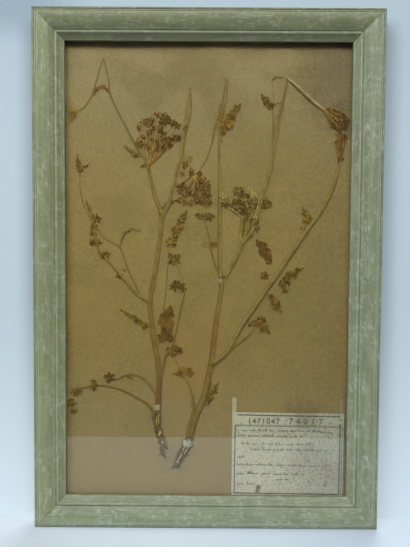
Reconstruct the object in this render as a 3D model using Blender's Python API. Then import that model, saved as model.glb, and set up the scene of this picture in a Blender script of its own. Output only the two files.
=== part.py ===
"""Pressed flower frame: two dried umbellifer plants strapped to a herbarium sheet with a label, behind glass in a
mitred, limed green moulding with a sawtooth hanger on its back.

Everything is modelled in the picture's own frame and hung on one empty: x to the right and y up from the middle of
the sight opening, z out of the wall from the plane of the rails' backs. The world's origin is the notch of the
hanger that the wall nail sits in, with +Z up and the picture facing -Y.
"""

import math

import bmesh
import bpy
from mathutils import Matrix, Vector

MM = 0.001
GAP = 0.0003  # air left between two pieces that touch

# The sight opening, and the moulding round it.
SIGHT_W = 0.275
SIGHT_H = 0.439
RAIL_W = 0.0285
REBATE_W = 0.0055
LIP_BACK = 0.0116
SIGHT_FRONT = 0.014
MITRE_GAP = GAP * 0.7
ARC_STEPS = 8

# The profile's own measures, out from the sight edge and up from the rail's back.
OUTER_BEAD_R = 0.0012
OUTER_BEAD_H = 0.0224
SECOND_BEAD_R = 0.0010
SECOND_BEAD_H = 0.0235
CROWN_H = 0.0255
CROWN_R = 0.015
CROWN_OUT = 0.0208
CROWN_FROM = 0.0239
CROWN_TO = 0.0088
INNER_BEAD_OUT = 0.0070
INNER_BEAD_H = 0.0190
INNER_BEAD_RADII = (0.0014, 0.0009)
COVE_TOP = (0.0054, 0.0188)
COVE_SAG = 0.0004
LIP_R = 0.0007

# What the rebate holds, back to front.
POINT_BACK = 0.0017
POINT_THICK = 0.0005
POINT_LONG = 0.014
POINT_WIDE = 0.006
POINT_IN_WOOD = 0.006
PANEL_CLEARANCE = 0.001
BOARD_BACK = POINT_BACK + POINT_THICK + GAP
BOARD_THICK = 0.0025
SHEET_BACK = BOARD_BACK + BOARD_THICK + GAP
SHEET_THICK = 0.0003
MOUNTED_BACK = SHEET_BACK + SHEET_THICK + GAP
CARD_THICK = 0.00025
GLASS_THICK = 0.002
GLASS_BACK = LIP_BACK - GAP - GLASS_THICK

# Pressed stalks: an oval section, in two layers so that one can pass over another.
SECTION_W = 0.001
SECTION_FLATNESS = 0.3
SECTION_SIDES = 8
UNDER = MOUNTED_BACK
OVER = MOUNTED_BACK + 0.00165
LEAF_LEVEL = OVER + 0.00115
LEAF_THICK = 0.0003
RAY_THICK = 0.0006

# The label, the slips behind its edges and the straps over the stalks.
LABEL_LEFT = 0.0256
LABEL_RIGHT = 0.1356
LABEL_TOP = -0.1387
LABEL_BOTTOM = -0.2225
LABEL_TURN = math.radians(-0.5)
SLIPS = (("left", 0.0277, -0.124, 0.0042), ("right", 0.1334, -0.125, 0.0034))  # side, x, top, width
STRAPS = (  # name, width, height, centre, turn, how far out
    ("left_stem", 0.0060, 0.0056, (-0.0482, -0.1338), 0.0, OVER + 0.0001),
    ("right_node", 0.0056, 0.0050, (0.0131, -0.0086), 0.0, OVER + 0.0001),
    ("right_root", 0.0080, 0.0056, (-0.0181, -0.1694), -0.15, UNDER + 0.0026),
)

# The sawtooth hanger and its two brads.
PLATE_THICK = 0.0007
PLATE_HIGH = 0.008
PLATE_STAND = 0.0015
TOOTH_PITCH = 0.004
TOOTH_DEEP = 0.002
TEETH = 5
BEND_X = 0.013
TAB_X = 0.022
BRAD_X = 0.0175
BRAD_Y = 0.0035
BRAD_R = 0.0006
BRAD_HEAD_R = 0.0017
BRAD_IN_WOOD = 0.008
HANGER_UP = 0.015  # the nail's notch above the sight edge

BACK_Y = -(PLATE_STAND + PLATE_THICK / 2)
SIGHT_MID_Z = -(SIGHT_H / 2 + HANGER_UP)


def clear_scene():
    for old in list(bpy.data.objects):
        bpy.data.objects.remove(old, do_unlink=True)


def finish(name, colour, roughness, metallic=0.0, transmission=0.0):
    """A Principled material with one colour."""
    material = bpy.data.materials.new(name)
    material.use_nodes = True
    shader = material.node_tree.nodes["Principled BSDF"]
    shader.inputs["Base Color"].default_value = (*colour, 1.0)
    shader.inputs["Roughness"].default_value = roughness
    shader.inputs["Metallic"].default_value = metallic
    shader.inputs["Transmission Weight"].default_value = transmission
    material.diffuse_color = (*colour, 1.0)
    return material


def picture_frame():
    """The empty that carries every piece: it turns the picture's own frame upright, facing -Y."""
    empty = bpy.data.objects.new("picture_axes", None)
    bpy.context.scene.collection.objects.link(empty)
    empty.location = (0, BACK_Y, SIGHT_MID_Z)
    empty.rotation_euler = (math.pi / 2, 0, 0)
    return empty


def add_object(name, data, parent, material=None):
    obj = bpy.data.objects.new(name, data)
    bpy.context.scene.collection.objects.link(obj)
    obj.parent = parent
    if material:
        data.materials.append(material)
    return obj


def mesh_object(name, shape, parent, material=None):
    bmesh.ops.recalc_face_normals(shape, faces=shape.faces)
    mesh = bpy.data.meshes.new(name)
    shape.to_mesh(mesh)
    shape.free()
    return add_object(name, mesh, parent, material)


def block(name, size, centre, parent, material=None, turn=0.0):
    """A box of size (x, y, z) about centre, turned in the picture's plane."""
    shape = bmesh.new()
    bmesh.ops.create_cube(shape, size=1.0, matrix=Matrix.Diagonal((*size, 1.0)))
    obj = mesh_object(name, shape, parent, material)
    obj.location = centre
    obj.rotation_euler.z = turn
    return obj


def plate(name, outline, back, thick, parent, material):
    """A flat piece: its outline of (x, y) points pushed out from back by thick."""
    shape = bmesh.new()
    face = shape.faces.new([shape.verts.new((x, y, back)) for x, y in outline])
    pushed = bmesh.ops.extrude_face_region(shape, geom=[face])["geom"]
    front = [v for v in pushed if isinstance(v, bmesh.types.BMVert)]
    bmesh.ops.translate(shape, verts=front, vec=(0, 0, thick))
    return mesh_object(name, shape, parent, material)


def hide_cutter(cutter):
    cutter.hide_render = True
    cutter.display_type = "WIRE"


def cut(obj, cutter):
    hide_cutter(cutter)
    boolean = obj.modifiers.new("cut", "BOOLEAN")
    boolean.operation = "DIFFERENCE"
    boolean.solver = "EXACT"
    boolean.object = cutter


# ---- the moulding ----


def oval_arc(centre, radii, start, end, steps=ARC_STEPS):
    """Points of an oval's stretch from start to end degrees."""
    points = []
    for step in range(steps + 1):
        angle = math.radians(start + (end - start) * step / steps)
        points.append((centre[0] + radii[0] * math.cos(angle), centre[1] + radii[1] * math.sin(angle)))
    return points


def moulding_profile():
    """(out, height) points: out from the sight edge, height from the rail's back, once round."""
    points = [(RAIL_W, 0.0)]
    points += oval_arc((RAIL_W - OUTER_BEAD_R, OUTER_BEAD_H), (OUTER_BEAD_R, OUTER_BEAD_R), 0, 180)
    second_out = RAIL_W - 2 * OUTER_BEAD_R - SECOND_BEAD_R
    points += oval_arc((second_out, SECOND_BEAD_H), (SECOND_BEAD_R, SECOND_BEAD_R), 0, 180)
    crown_ends = [math.degrees(math.acos((out - CROWN_OUT) / CROWN_R)) for out in (CROWN_FROM, CROWN_TO)]
    points += oval_arc((CROWN_OUT, CROWN_H - CROWN_R), (CROWN_R, CROWN_R), *crown_ends)
    points += oval_arc((INNER_BEAD_OUT, INNER_BEAD_H), INNER_BEAD_RADII, 0, 180)
    lip_top = (LIP_R, SIGHT_FRONT + LIP_R / 2)
    cove_steps = ARC_STEPS // 2
    for step in range(cove_steps):
        part = step / cove_steps
        out = COVE_TOP[0] + (lip_top[0] - COVE_TOP[0]) * part
        straight = COVE_TOP[1] + (lip_top[1] - COVE_TOP[1]) * part
        points.append((out, straight - COVE_SAG * math.sin(math.pi * part)))
    points += oval_arc((LIP_R, lip_top[1] - LIP_R), (LIP_R, LIP_R), 90, 180, ARC_STEPS // 2)
    points += [(0.0, LIP_BACK), (REBATE_W, LIP_BACK), (REBATE_W, 0.0)]
    return points


def rail(name, run, offset, quarter, parent, material):
    """One moulded length beside a sight edge of length run, offset from the middle, mitred at both ends."""
    shape = bmesh.new()
    near = [shape.verts.new((0, -offset - out, height)) for out, height in moulding_profile()]
    face = shape.faces.new(near)
    pushed = bmesh.ops.extrude_face_region(shape, geom=[face])["geom"]
    far = [v for v in pushed if isinstance(v, bmesh.types.BMVert)]
    for side, verts in ((-1, near), (1, far)):
        for vert in verts:
            out = -offset - vert.co.y
            vert.co.x = side * (run / 2 + out - MITRE_GAP)
    obj = mesh_object(name, shape, parent, material)
    obj.rotation_euler.z = quarter * math.pi / 2
    return obj


def make_moulding(parent):
    wood = finish("limed_green_wood", (0.27, 0.31, 0.20), 0.6)
    return {
        "bottom": rail("frame_bottom_rail", SIGHT_W, SIGHT_H / 2, 0, parent, wood),
        "right": rail("frame_right_rail", SIGHT_H, SIGHT_W / 2, 1, parent, wood),
        "top": rail("frame_top_rail", SIGHT_W, SIGHT_H / 2, 2, parent, wood),
        "left": rail("frame_left_rail", SIGHT_H, SIGHT_W / 2, 3, parent, wood),
    }


# ---- glass, board and what fastens them ----


def make_panels(parent):
    """The three sheets that lie in the rebate."""
    wide = SIGHT_W + 2 * (REBATE_W - PANEL_CLEARANCE)
    high = SIGHT_H + 2 * (REBATE_W - PANEL_CLEARANCE)
    panels = (
        ("backing_board", BOARD_BACK, BOARD_THICK, finish("hardboard", (0.16, 0.09, 0.05), 0.85)),
        ("herbarium_sheet", SHEET_BACK, SHEET_THICK, finish("brown_mounting_paper", (0.24, 0.17, 0.08), 0.9)),
        ("glass_pane", GLASS_BACK, GLASS_THICK, finish("clear_glass", (1, 1, 1), 0.02, transmission=1.0)),
    )
    for name, back, thick, material in panels:
        block(name, (wide, high, thick), (0, 0, back + thick / 2), parent, material)


def make_points(rails, parent):
    """Flat steel points driven into the rebate's wall, which hold the board in."""
    steel = finish("blued_steel_strip", (0.35, 0.35, 0.36), 0.4, 1.0)
    places = [(side, end * 0.13) for side in ("left", "right") for end in (-1, 1)]
    places += [(side, end * 0.075) for side in ("top", "bottom") for end in (-1, 1)]
    offsets = {"left": SIGHT_W / 2, "right": SIGHT_W / 2, "top": SIGHT_H / 2, "bottom": SIGHT_H / 2}
    for number, (side, along) in enumerate(places, 1):
        deep_end = offsets[side] + REBATE_W + POINT_IN_WOOD
        middle = deep_end - POINT_LONG / 2
        height = POINT_BACK + POINT_THICK / 2
        turn = rails[side].rotation_euler.z
        centre = Matrix.Rotation(turn, 3, "Z") @ Vector((along, -middle, height))
        size = (POINT_WIDE, POINT_LONG, POINT_THICK)
        block(f"framers_point_{number}", size, centre, parent, steel, turn)
        room = Vector(size) + Vector((2 * GAP, 2 * GAP, 2 * GAP))
        cut(rails[side], block(f"point_slot_{number}", room, centre, parent, turn=turn))


def turned(name, outline, centre, parent, material=None, sides=12):
    """A round piece on an axis along z: outline is (radius, height) from one end of the axis to the other."""
    shape = bmesh.new()
    verts = [shape.verts.new((radius, 0, height)) for radius, height in outline]
    edges = [shape.edges.new(pair) for pair in zip(verts, verts[1:])]
    bmesh.ops.spin(shape, geom=verts + edges, axis=(0, 0, 1), cent=(0, 0, 0), angle=2 * math.pi, steps=sides,
                   use_merge=True)
    bmesh.ops.remove_doubles(shape, verts=shape.verts, dist=1e-6)
    obj = mesh_object(name, shape, parent, material)
    obj.data.shade_smooth()
    obj.data.set_sharp_from_angle(angle=math.radians(35))
    obj.location = centre
    return obj


def make_hanger(top_rail, parent):
    """A pressed plate whose raised middle has teeth along its lower edge, and the two brads in its tabs."""
    steel = finish("bright_steel_plate", (0.55, 0.55, 0.54), 0.35, 1.0)
    notch_y = SIGHT_H / 2 + HANGER_UP
    flat_z = -(GAP + PLATE_THICK / 2)
    raised_z = -(PLATE_STAND + PLATE_THICK / 2)
    stations = [(-TAB_X, -TOOTH_DEEP, flat_z), (-BEND_X, -TOOTH_DEEP, flat_z)]
    for step in range(2 * TEETH + 1):
        low = 0.0 if step % 2 else -TOOTH_DEEP
        stations.append(((step / 2 - TEETH / 2) * TOOTH_PITCH, low, raised_z))
    stations += [(BEND_X, -TOOTH_DEEP, flat_z), (TAB_X, -TOOTH_DEEP, flat_z)]
    shape = bmesh.new()
    lows = [shape.verts.new((x, low, z)) for x, low, z in stations]
    highs = [shape.verts.new((x, PLATE_HIGH, z)) for x, low, z in stations]
    for at in range(len(stations) - 1):
        shape.faces.new((lows[at], lows[at + 1], highs[at + 1], highs[at]))
    hanger = mesh_object("sawtooth_hanger", shape, parent, steel)
    hanger.location = (0, notch_y, 0)
    solid = hanger.modifiers.new("sheet_steel", "SOLIDIFY")
    solid.thickness = PLATE_THICK
    solid.offset = 0.0
    for side, x in (("left", -BRAD_X), ("right", BRAD_X)):
        head_back = -(2 * GAP + PLATE_THICK)
        outline = ((0, head_back - 0.0006), (BRAD_HEAD_R, head_back - 0.0004), (BRAD_HEAD_R, head_back),
                   (BRAD_R, head_back), (BRAD_R, BRAD_IN_WOOD - 0.0012), (0, BRAD_IN_WOOD))
        centre = (x, notch_y + BRAD_Y, 0)
        turned(f"hanger_brad_{side}", outline, centre, parent, steel)
        hole_r = BRAD_R + GAP
        hole = ((0, -0.003), (hole_r, -0.003), (hole_r, BRAD_IN_WOOD + GAP), (0, BRAD_IN_WOOD + GAP))
        drill = turned(f"brad_hole_{side}", hole, centre, parent)
        cut(top_rail, drill)
        cut(hanger, drill)


# ---- the label and the paper strips ----


def make_label(parent):
    """A card on two narrow slips, which stick out above it, and the straps over the stalks."""
    card = finish("label_paper", (0.62, 0.56, 0.40), 0.85)
    strip = finish("paper_strip", (0.60, 0.56, 0.42), 0.85)
    middle = (LABEL_TOP + LABEL_BOTTOM) / 2
    size = (LABEL_RIGHT - LABEL_LEFT, LABEL_TOP - LABEL_BOTTOM, CARD_THICK)
    centre = ((LABEL_LEFT + LABEL_RIGHT) / 2, middle, MOUNTED_BACK + CARD_THICK + GAP + CARD_THICK / 2)
    block("label_card", size, centre, parent, card, LABEL_TURN)
    for side, x, top, slip_w in SLIPS:
        size = (slip_w, top - LABEL_BOTTOM, CARD_THICK)
        centre = (x, (top + LABEL_BOTTOM) / 2, MOUNTED_BACK + CARD_THICK / 2)
        block(f"label_slip_{side}", size, centre, parent, strip)
    for name, across, tall, (x, y), turn, height in STRAPS:
        block(f"strap_{name}", (across, tall, CARD_THICK), (x, y, height + CARD_THICK / 2), parent, strip, turn)


# ---- the pressed plants: routes are (x, y, width) in millimetres ----


def stalk_section(parent):
    """The flattened oval that every stalk is drawn with, one SECTION_W wide."""
    curve = bpy.data.curves.new("stalk_section", "CURVE")
    curve.dimensions = "2D"
    spline = curve.splines.new("POLY")
    spline.points.add(SECTION_SIDES - 1)
    for number, point in enumerate(spline.points):
        angle = -2 * math.pi * (number + 0.5) / SECTION_SIDES
        across = SECTION_W / 2 * math.cos(angle)
        through = SECTION_W / 2 * SECTION_FLATNESS * math.sin(angle)
        point.co = (across, through, 0, 1)
    spline.use_cyclic_u = True
    section = add_object("stalk_section", curve, parent)
    hide_cutter(section)
    return section


def stalk(name, layer, route, section, parent, material, resolution=2):
    """A pressed stalk that lies on layer and follows a smooth curve through route."""
    curve = bpy.data.curves.new(name, "CURVE")
    curve.dimensions = "3D"
    curve.twist_mode = "Z_UP"
    curve.bevel_mode = "OBJECT"
    curve.bevel_object = section
    curve.use_fill_caps = True
    curve.resolution_u = resolution
    spline = curve.splines.new("BEZIER")
    spline.bezier_points.add(len(route) - 1)
    for point, (x, y, width) in zip(spline.bezier_points, route):
        half_thick = width * MM * SECTION_FLATNESS / 2
        point.co = (x * MM, y * MM, layer + half_thick)
        point.radius = width * MM / SECTION_W
        point.handle_left_type = "AUTO"
        point.handle_right_type = "AUTO"
    return add_object(name, curve, parent, material)


LEFT_STALKS = {
    "left_main_stem": (UNDER, (
        (-47.9, -151.4, 3.8), (-47.6, -136, 4.2), (-47, -120, 3.9), (-46.4, -104, 3.8), (-47.8, -88, 3.7),
        (-51, -72, 3.6), (-54.6, -46, 3.4), (-55.6, -32, 3.3), (-53.6, -14, 3.2), (-49.4, 9, 3.2),
        (-45.9, 36, 3.1), (-44.5, 57, 3.4))),
    "left_upper_stem": (UNDER, (
        (-45.4, 59.0, 2.8), (-47.4, 63, 2.8), (-50.8, 72, 2.7), (-53.3, 80, 2.4), (-56.9, 96, 2.2),
        (-57.6, 100.4, 2.2))),
    "left_far_stem": (OVER, (
        (-57.0, 98.5, 1.6), (-62, 110, 1.5), (-68.6, 119, 1.4), (-79, 139, 1.3), (-90, 160, 1.2),
        (-95.2, 173, 1.2), (-96.4, 186, 1.1), (-101, 205, 0.9))),
    "left_far_tip": (UNDER, (
        (-101.2, 204.4, 0.9), (-104.4, 196, 1.0), (-107.8, 184, 1.0), (-112, 171, 1.0), (-118.6, 159.4, 1.0),
        (-126, 154.6, 0.9))),
    "left_inner_stem": (OVER, (
        (-43.6, 54.5, 2.6), (-41, 60, 2.6), (-37.6, 67, 2.4), (-34.4, 80, 2.3), (-30, 99, 2.2),
        (-26, 114, 2.1), (-24.7, 132, 2.0), (-21.6, 153, 1.8), (-18, 178, 1.2))),
    "left_inner_tip": (UNDER, (
        (-17.8, 177, 1.2), (-16.9, 160, 1.4), (-19, 144, 1.5), (-22.6, 129, 1.4), (-24, 117, 1.2),
        (-22.4, 111, 1.0))),
    "left_leaf_stalk_outer": (OVER, (
        (-55.8, -30.4, 2.0), (-60, -28, 1.9), (-69, -22, 1.8), (-79.6, -10, 1.7), (-90, 2, 1.5),
        (-104, 18, 1.3), (-108.8, 28, 1.2), (-110.2, 42, 1.1), (-112, 52, 1.0), (-116.5, 65, 0.8))),
    "left_leaf_stalk_long": (UNDER, (
        (-66.8, -22.4, 1.4), (-69.6, -14.4, 1.4), (-75.4, -3, 1.4), (-80.6, 11, 1.3), (-85.6, 23.3, 1.3),
        (-93, 28, 1.2), (-101, 33, 1.2), (-111, 47, 1.1), (-119.4, 61, 1.0), (-124, 80, 0.9), (-124.4, 101, 0.8))),
    "left_leaf_stalk_arch": (OVER, (
        (-85.4, 22.6, 1.0), (-84.5, 29, 1.0), (-81, 36.6, 0.9), (-74, 41.4, 0.8), (-65.6, 39, 0.7))),
    "left_basal_stalk_upper": (OVER, (
        (-47.8, -124.6, 1.6), (-50.4, -120, 1.5), (-55.6, -112.6, 1.4), (-62, -105.8, 1.4), (-70, -101.8, 1.3),
        (-78, -101.7, 1.2), (-91, -107.6, 1.0))),
    "left_basal_stalk_lower": (OVER, (
        (-49.0, -152, 2.2), (-51.8, -145.6, 2.2), (-53.2, -138, 1.9), (-58, -131, 1.7), (-69, -124.2, 1.5),
        (-80, -118.4, 1.4), (-91, -114.6, 1.3), (-104, -112.6, 1.2), (-120, -114.4, 1.1), (-129, -119, 0.9))),
    "left_leaf_petiole_lower": (OVER, (
        (-46.4, -106, 1.6), (-43.4, -98, 1.5), (-41.6, -88, 1.4), (-39, -80.4, 1.3), (-34.6, -74.4, 1.2))),
    "left_leaf_petiole_upper": (OVER, (
        (-33.8, -72.6, 1.2), (-31.4, -64, 1.2), (-29.8, -56, 1.1), (-27.6, -46, 1.1), (-24.4, -32, 1.0),
        (-22.2, -22, 0.9))),
}

RIGHT_STALKS = {
    "right_main_stem": (UNDER, (
        (-16.0, -162.8, 5.0), (-12.6, -150.6, 4.8), (-9.2, -139.6, 4.7), (-2.6, -124, 4.6), (0.2, -112, 4.4),
        (2.4, -101, 4.2), (4.4, -90, 4.6))),
    "right_mid_stem": (UNDER, (
        (4.6, -89.0, 3.9), (5.6, -81, 3.6), (6.7, -68, 3.4), (8.9, -48, 3.3), (12.0, -29, 3.1),
        (14.0, -15.6, 3.0), (13.0, -4.4, 3.4))),
    "right_centre_stem": (UNDER, (
        (12.8, -3.4, 3.2), (12.3, 18, 2.8), (12, 60, 2.6), (12.2, 91, 2.4), (12.8, 111, 2.3),
        (12.2, 123.4, 2.2), (9.4, 128.6, 2.0), (6.8, 131, 1.8))),
    "right_centre_tip": (OVER, (
        (5.4, 129.5, 1.8), (7.8, 142, 1.7), (10, 151, 1.6), (14.4, 173, 1.3), (17.5, 186, 0.9))),
    "right_drooping_stalk": (UNDER, (
        (4.2, 127.2, 1.1), (2.6, 122, 1.1), (0, 113, 1.0), (-3.3, 106, 1.0), (-7.6, 99.4, 1.0))),
    "right_inner_branch": (OVER, (
        (16.9, -4.6, 2.6), (22, 3.3, 2.6), (26.7, 12, 2.6), (31, 22, 2.6), (35.6, 30, 2.6), (42, 38, 2.5),
        (46, 52, 2.4), (52, 77, 2.3), (55.6, 89, 2.2), (60, 105, 2.2), (64, 131, 2.1), (66, 149, 2.1))),
    "right_inner_tip": (OVER, (
        (66.5, 150.0, 1.9), (69, 156, 1.7), (72, 166, 1.5), (74.4, 178, 1.3), (76, 187, 1.2))),
    "right_folded_stem": (UNDER, (
        (76.0, 186.6, 1.8), (85.6, 178.8, 2.2), (91.4, 173.4, 2.2), (102, 164, 2.1), (111, 157.6, 1.9))),
    "right_outer_branch": (OVER, (
        (5.0, -91.2, 3.2), (9.4, -87.6, 3.1), (15, -83.6, 3.0), (21.4, -76.4, 2.9), (27, -66, 2.9),
        (35.6, -51, 2.8), (49, -31, 2.8), (64.4, -8, 2.8), (82, 18, 2.7), (98, 42.6, 2.6), (111, 61, 2.4),
        (121, 81, 2.2), (125.4, 97, 2.0), (126.7, 108, 1.8))),
    "right_outer_branchlet": (UNDER, (
        (19.6, -79.6, 2.0), (25, -74.8, 2.0), (33, -69.4, 1.8), (41, -62, 1.6), (48, -54.4, 1.3))),
    "right_node_stalk": (OVER, (
        (12.2, -3.2, 1.5), (9, 3.6, 1.4), (5.6, 13.6, 1.3), (3.3, 22, 1.2), (2.2, 32, 1.1), (0, 41, 1.0),
        (-2.4, 49, 0.9))),
    "right_basal_stalk": (OVER, (
        (-18.6, -163.2, 2.2), (-16.7, -151, 2.2), (-14, -142, 2.0), (-12.8, -134, 1.8), (-14.4, -121, 1.6),
        (-16.7, -113, 1.4), (-20, -107, 1.2), (-25, -101, 1.0))),
    "right_stub_stem": (UNDER, ((0.4, -129.5, 1.6), (2.6, -120, 1.5), (5.0, -108, 1.2))),
}

ROOTS = {
    "left_root": (
        (-47.8, -152.6, 3.9), (-46.0, -158.6, 4.4), (-43.6, -166, 5.0), (-42.2, -173, 4.6), (-43.2, -182.5, 2.2)),
    "right_root": (
        (-17.0, -164.6, 6.4), (-18.4, -171, 7.4), (-22.6, -179, 7.0), (-26.8, -187, 5.2), (-30, -194.5, 2.4)),
}


def make_stalks(section, parent):
    tan = finish("dried_stem", (0.30, 0.17, 0.06), 0.65)
    grey = finish("dried_root", (0.20, 0.17, 0.13), 0.85)
    for name, (layer, route) in {**LEFT_STALKS, **RIGHT_STALKS}.items():
        stalk(name, layer, route, section, parent, tan)
    for name, route in ROOTS.items():
        stalk(name, UNDER, route, section, parent, grey, resolution=3)


def ray_fan(name, layer, hub, first, last, lengths, parent, material):
    """An umbel's main rays as one flat fan: each is a slim wedge from hub, first to last degrees across."""
    hub = Vector(hub) * MM
    step = math.radians(last - first) / (len(lengths) - 1)
    outline = [hub]
    for number, length in enumerate(lengths):
        angle = math.radians(first) + number * step
        along = Vector((math.cos(angle), math.sin(angle)))
        beside = Vector((-along.y, along.x)) * math.copysign(1, step)
        tip = hub + along * length * MM
        crotch = Vector((math.cos(angle + step / 2), math.sin(angle + step / 2))) * 0.004
        outline += [tip - beside * 0.0004, tip + beside * 0.0004]
        if number < len(lengths) - 1:
            outline.append(hub + crotch)
    plate(name, outline, layer, RAY_THICK, parent, material)


def make_umbels(parent):
    brown = finish("dried_umbel", (0.13, 0.07, 0.04), 0.8)
    fans = (
        ("left_umbel_rays", UNDER, (-57.6, 101.2), 116, 50, (26, 34, 42, 46, 50, 47, 44, 38)),
        ("right_drooping_umbel_rays", OVER, (-8.4, 97.6), 218, 292, (26, 31, 34, 34, 34, 32, 28)),
        ("right_middle_umbel_rays", UNDER, (36.2, 32.6), 114, 70, (36, 42, 44, 46, 46, 42)),
        ("right_folded_umbel_rays", UNDER, (112.0, 156.8), -72, -16, (17, 21, 23, 24, 24)),
        ("right_outer_umbel_rays", OVER, (126.9, 109.0), 102, 76, (20, 27, 28, 24)),
    )
    for name, layer, hub, first, last, lengths in fans:
        ray_fan(name, layer, hub, first, last, lengths, parent, brown)


def leaf_blade(name, base, tip, half_width, lobes, parent, material):
    """A flat lobed blade from base to tip, pressed against the glass."""
    base, tip = Vector(base) * MM, Vector(tip) * MM
    along = tip - base
    beside = Vector((-along.y, along.x)).normalized() * half_width * MM
    right, left = [], []
    for number in range(2 * lobes):
        part = (number + 0.5) / (2 * lobes)
        spread = math.sin(math.pi * part) ** 0.6 * (1.0 if number % 2 else 0.55)
        right.append(base + along * part - beside * spread)
        left.append(base + along * part + beside * spread)
    outline = [base] + right + [tip] + left[::-1]
    plate(name, outline, LEAF_LEVEL, LEAF_THICK, parent, material)


def make_leaves(parent):
    brown = finish("dried_leaf", (0.15, 0.08, 0.03), 0.85)
    leaf_blade("left_leaf_ovate", (-39.6, -62), (-37, -38), 6.2, 6, parent, brown)
    leaf_blade("left_leaf_side", (-57.6, -53.4), (-83, -39.4), 3.2, 7, parent, brown)
    leaf_blade("right_leaf_ovate", (61.6, 7), (50, 29), 5.0, 6, parent, brown)


def main():
    clear_scene()
    parent = picture_frame()
    rails = make_moulding(parent)
    make_panels(parent)
    make_points(rails, parent)
    make_hanger(rails["top"], parent)
    make_label(parent)
    make_stalks(stalk_section(parent), parent)
    make_umbels(parent)
    make_leaves(parent)


main()
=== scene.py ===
"""Pressed flower frame: two dried umbellifer plants strapped to a brown herbarium sheet with a label, behind glass in
a mitred moulding with a limed green finish.

Pieces are drawn in the picture's own frame, in millimetres: x to the right and y up from the middle of the sight
opening, and height out from the back of the rails. HANG turns that frame upright and puts it where the CAD part is.
"""

import math
import random

import bmesh
import bpy
from mathutils import Matrix, Vector, noise


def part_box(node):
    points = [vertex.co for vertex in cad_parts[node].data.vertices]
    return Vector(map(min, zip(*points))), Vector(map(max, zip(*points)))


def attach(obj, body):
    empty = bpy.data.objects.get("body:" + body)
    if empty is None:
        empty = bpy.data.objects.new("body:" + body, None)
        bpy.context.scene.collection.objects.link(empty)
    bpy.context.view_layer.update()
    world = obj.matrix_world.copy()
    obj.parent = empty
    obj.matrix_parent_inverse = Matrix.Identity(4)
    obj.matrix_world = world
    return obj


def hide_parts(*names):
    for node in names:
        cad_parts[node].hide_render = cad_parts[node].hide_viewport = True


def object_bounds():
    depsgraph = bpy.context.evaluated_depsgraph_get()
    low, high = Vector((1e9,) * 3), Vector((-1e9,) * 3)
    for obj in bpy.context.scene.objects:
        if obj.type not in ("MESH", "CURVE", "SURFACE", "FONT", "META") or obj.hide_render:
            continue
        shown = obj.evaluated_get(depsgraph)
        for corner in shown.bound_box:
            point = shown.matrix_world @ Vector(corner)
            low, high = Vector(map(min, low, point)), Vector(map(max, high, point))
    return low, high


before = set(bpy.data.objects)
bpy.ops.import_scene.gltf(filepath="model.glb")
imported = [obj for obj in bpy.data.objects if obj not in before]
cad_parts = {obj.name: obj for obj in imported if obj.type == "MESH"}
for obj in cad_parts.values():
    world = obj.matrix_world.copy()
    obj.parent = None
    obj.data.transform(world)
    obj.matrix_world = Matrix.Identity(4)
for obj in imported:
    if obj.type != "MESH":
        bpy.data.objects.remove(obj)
cad_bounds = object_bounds()

NOISE_SEED = 31
noise.seed_set(NOISE_SEED)  # noise_vector, which crinkles the leaves, is otherwise seeded from the clock

# ---- sizes, in millimetres ----

MM = 0.001
RAIL_LOW, RAIL_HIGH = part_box("frame_bottom_rail")
SIDE_RAIL_LOW, SIDE_RAIL_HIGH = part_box("frame_left_rail")
PANE_LOW, PANE_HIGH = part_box("glass_pane")
RAIL_W = (RAIL_HIGH[2] - RAIL_LOW[2]) / MM
SIGHT_W = (RAIL_HIGH[0] - RAIL_LOW[0]) / MM - 2 * RAIL_W
SIGHT_H = (SIDE_RAIL_HIGH[2] - SIDE_RAIL_LOW[2]) / MM - 2 * RAIL_W
PANEL_W = (PANE_HIGH[0] - PANE_LOW[0]) / MM
PANEL_H = (PANE_HIGH[2] - PANE_LOW[2]) / MM
REBATE_W = 5.5
LIP_BACK = 11.6
SIGHT_FRONT = 14.0

# The moulding's parts, out from the sight edge and up from the rail's back: (out, height), then the radii.
OUTER_BEAD, OUTER_BEAD_RADII = (RAIL_W - 1.2, 22.4), (1.2, 1.2)
SECOND_BEAD, SECOND_BEAD_RADII = (RAIL_W - 3.4, 23.5), (1.0, 1.0)
CROWN_R = 15.0
CROWN, CROWN_RADII = (20.8, 25.5 - CROWN_R), (CROWN_R, CROWN_R)
CROWN_FROM, CROWN_TO = 23.9, 8.8
INNER_BEAD, INNER_BEAD_RADII = (7.0, 19.0), (1.4, 0.9)
COVE_OUT, COVE_TOP, COVE_SAG, COVE_STEPS = 5.4, 18.8, 0.4, 8
LIP_R = 0.7
LIP_TOP = SIGHT_FRONT + LIP_R / 2
RAIL_STATIONS = 44  # cross sections along a rail, which let it be a little uneven
RAIL_WEAR = 0.10

BACK_Y = RAIL_HIGH[1]
SIGHT_MID_Z = (PANE_LOW[2] + PANE_HIGH[2]) / 2
HANG = Matrix.Translation((0, BACK_Y, SIGHT_MID_Z)) @ Matrix.Rotation(math.pi / 2, 4, "X") @ Matrix.Scale(MM, 4)

SHEET_BACK = 5.3
SHEET_TOP = 5.6
SHEET_THICK = SHEET_TOP - SHEET_BACK
CARD_TOP = 6.7
CARD_THICK = 0.25
INK_LIFT = 0.02  # how far printing stands on the card
STRIP_LIFT, STRIP_THICK = 0.25, 0.2
STALK_FLATNESS = 0.34
OVER_REST = 0.35  # how far above the sheet a stalk of the upper layer lies
OVER_STEP = 0.6  # and how much higher it starts, where it leaves its parent
STALK_SWELL = 1.34  # a stalk's skin is this much wider than its CAD solid, and flatter
STALK_RIB = 0.07  # how deep a stalk's ribs are, by its half width
EDGE_RISE = 0.22  # how high the pale ribs along a stalk's sides lie, by its width
GOLDEN_TURN = 2.4  # radians from one part of a cluster to the next, so that they spread evenly


# ---- shader node helpers ----


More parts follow.
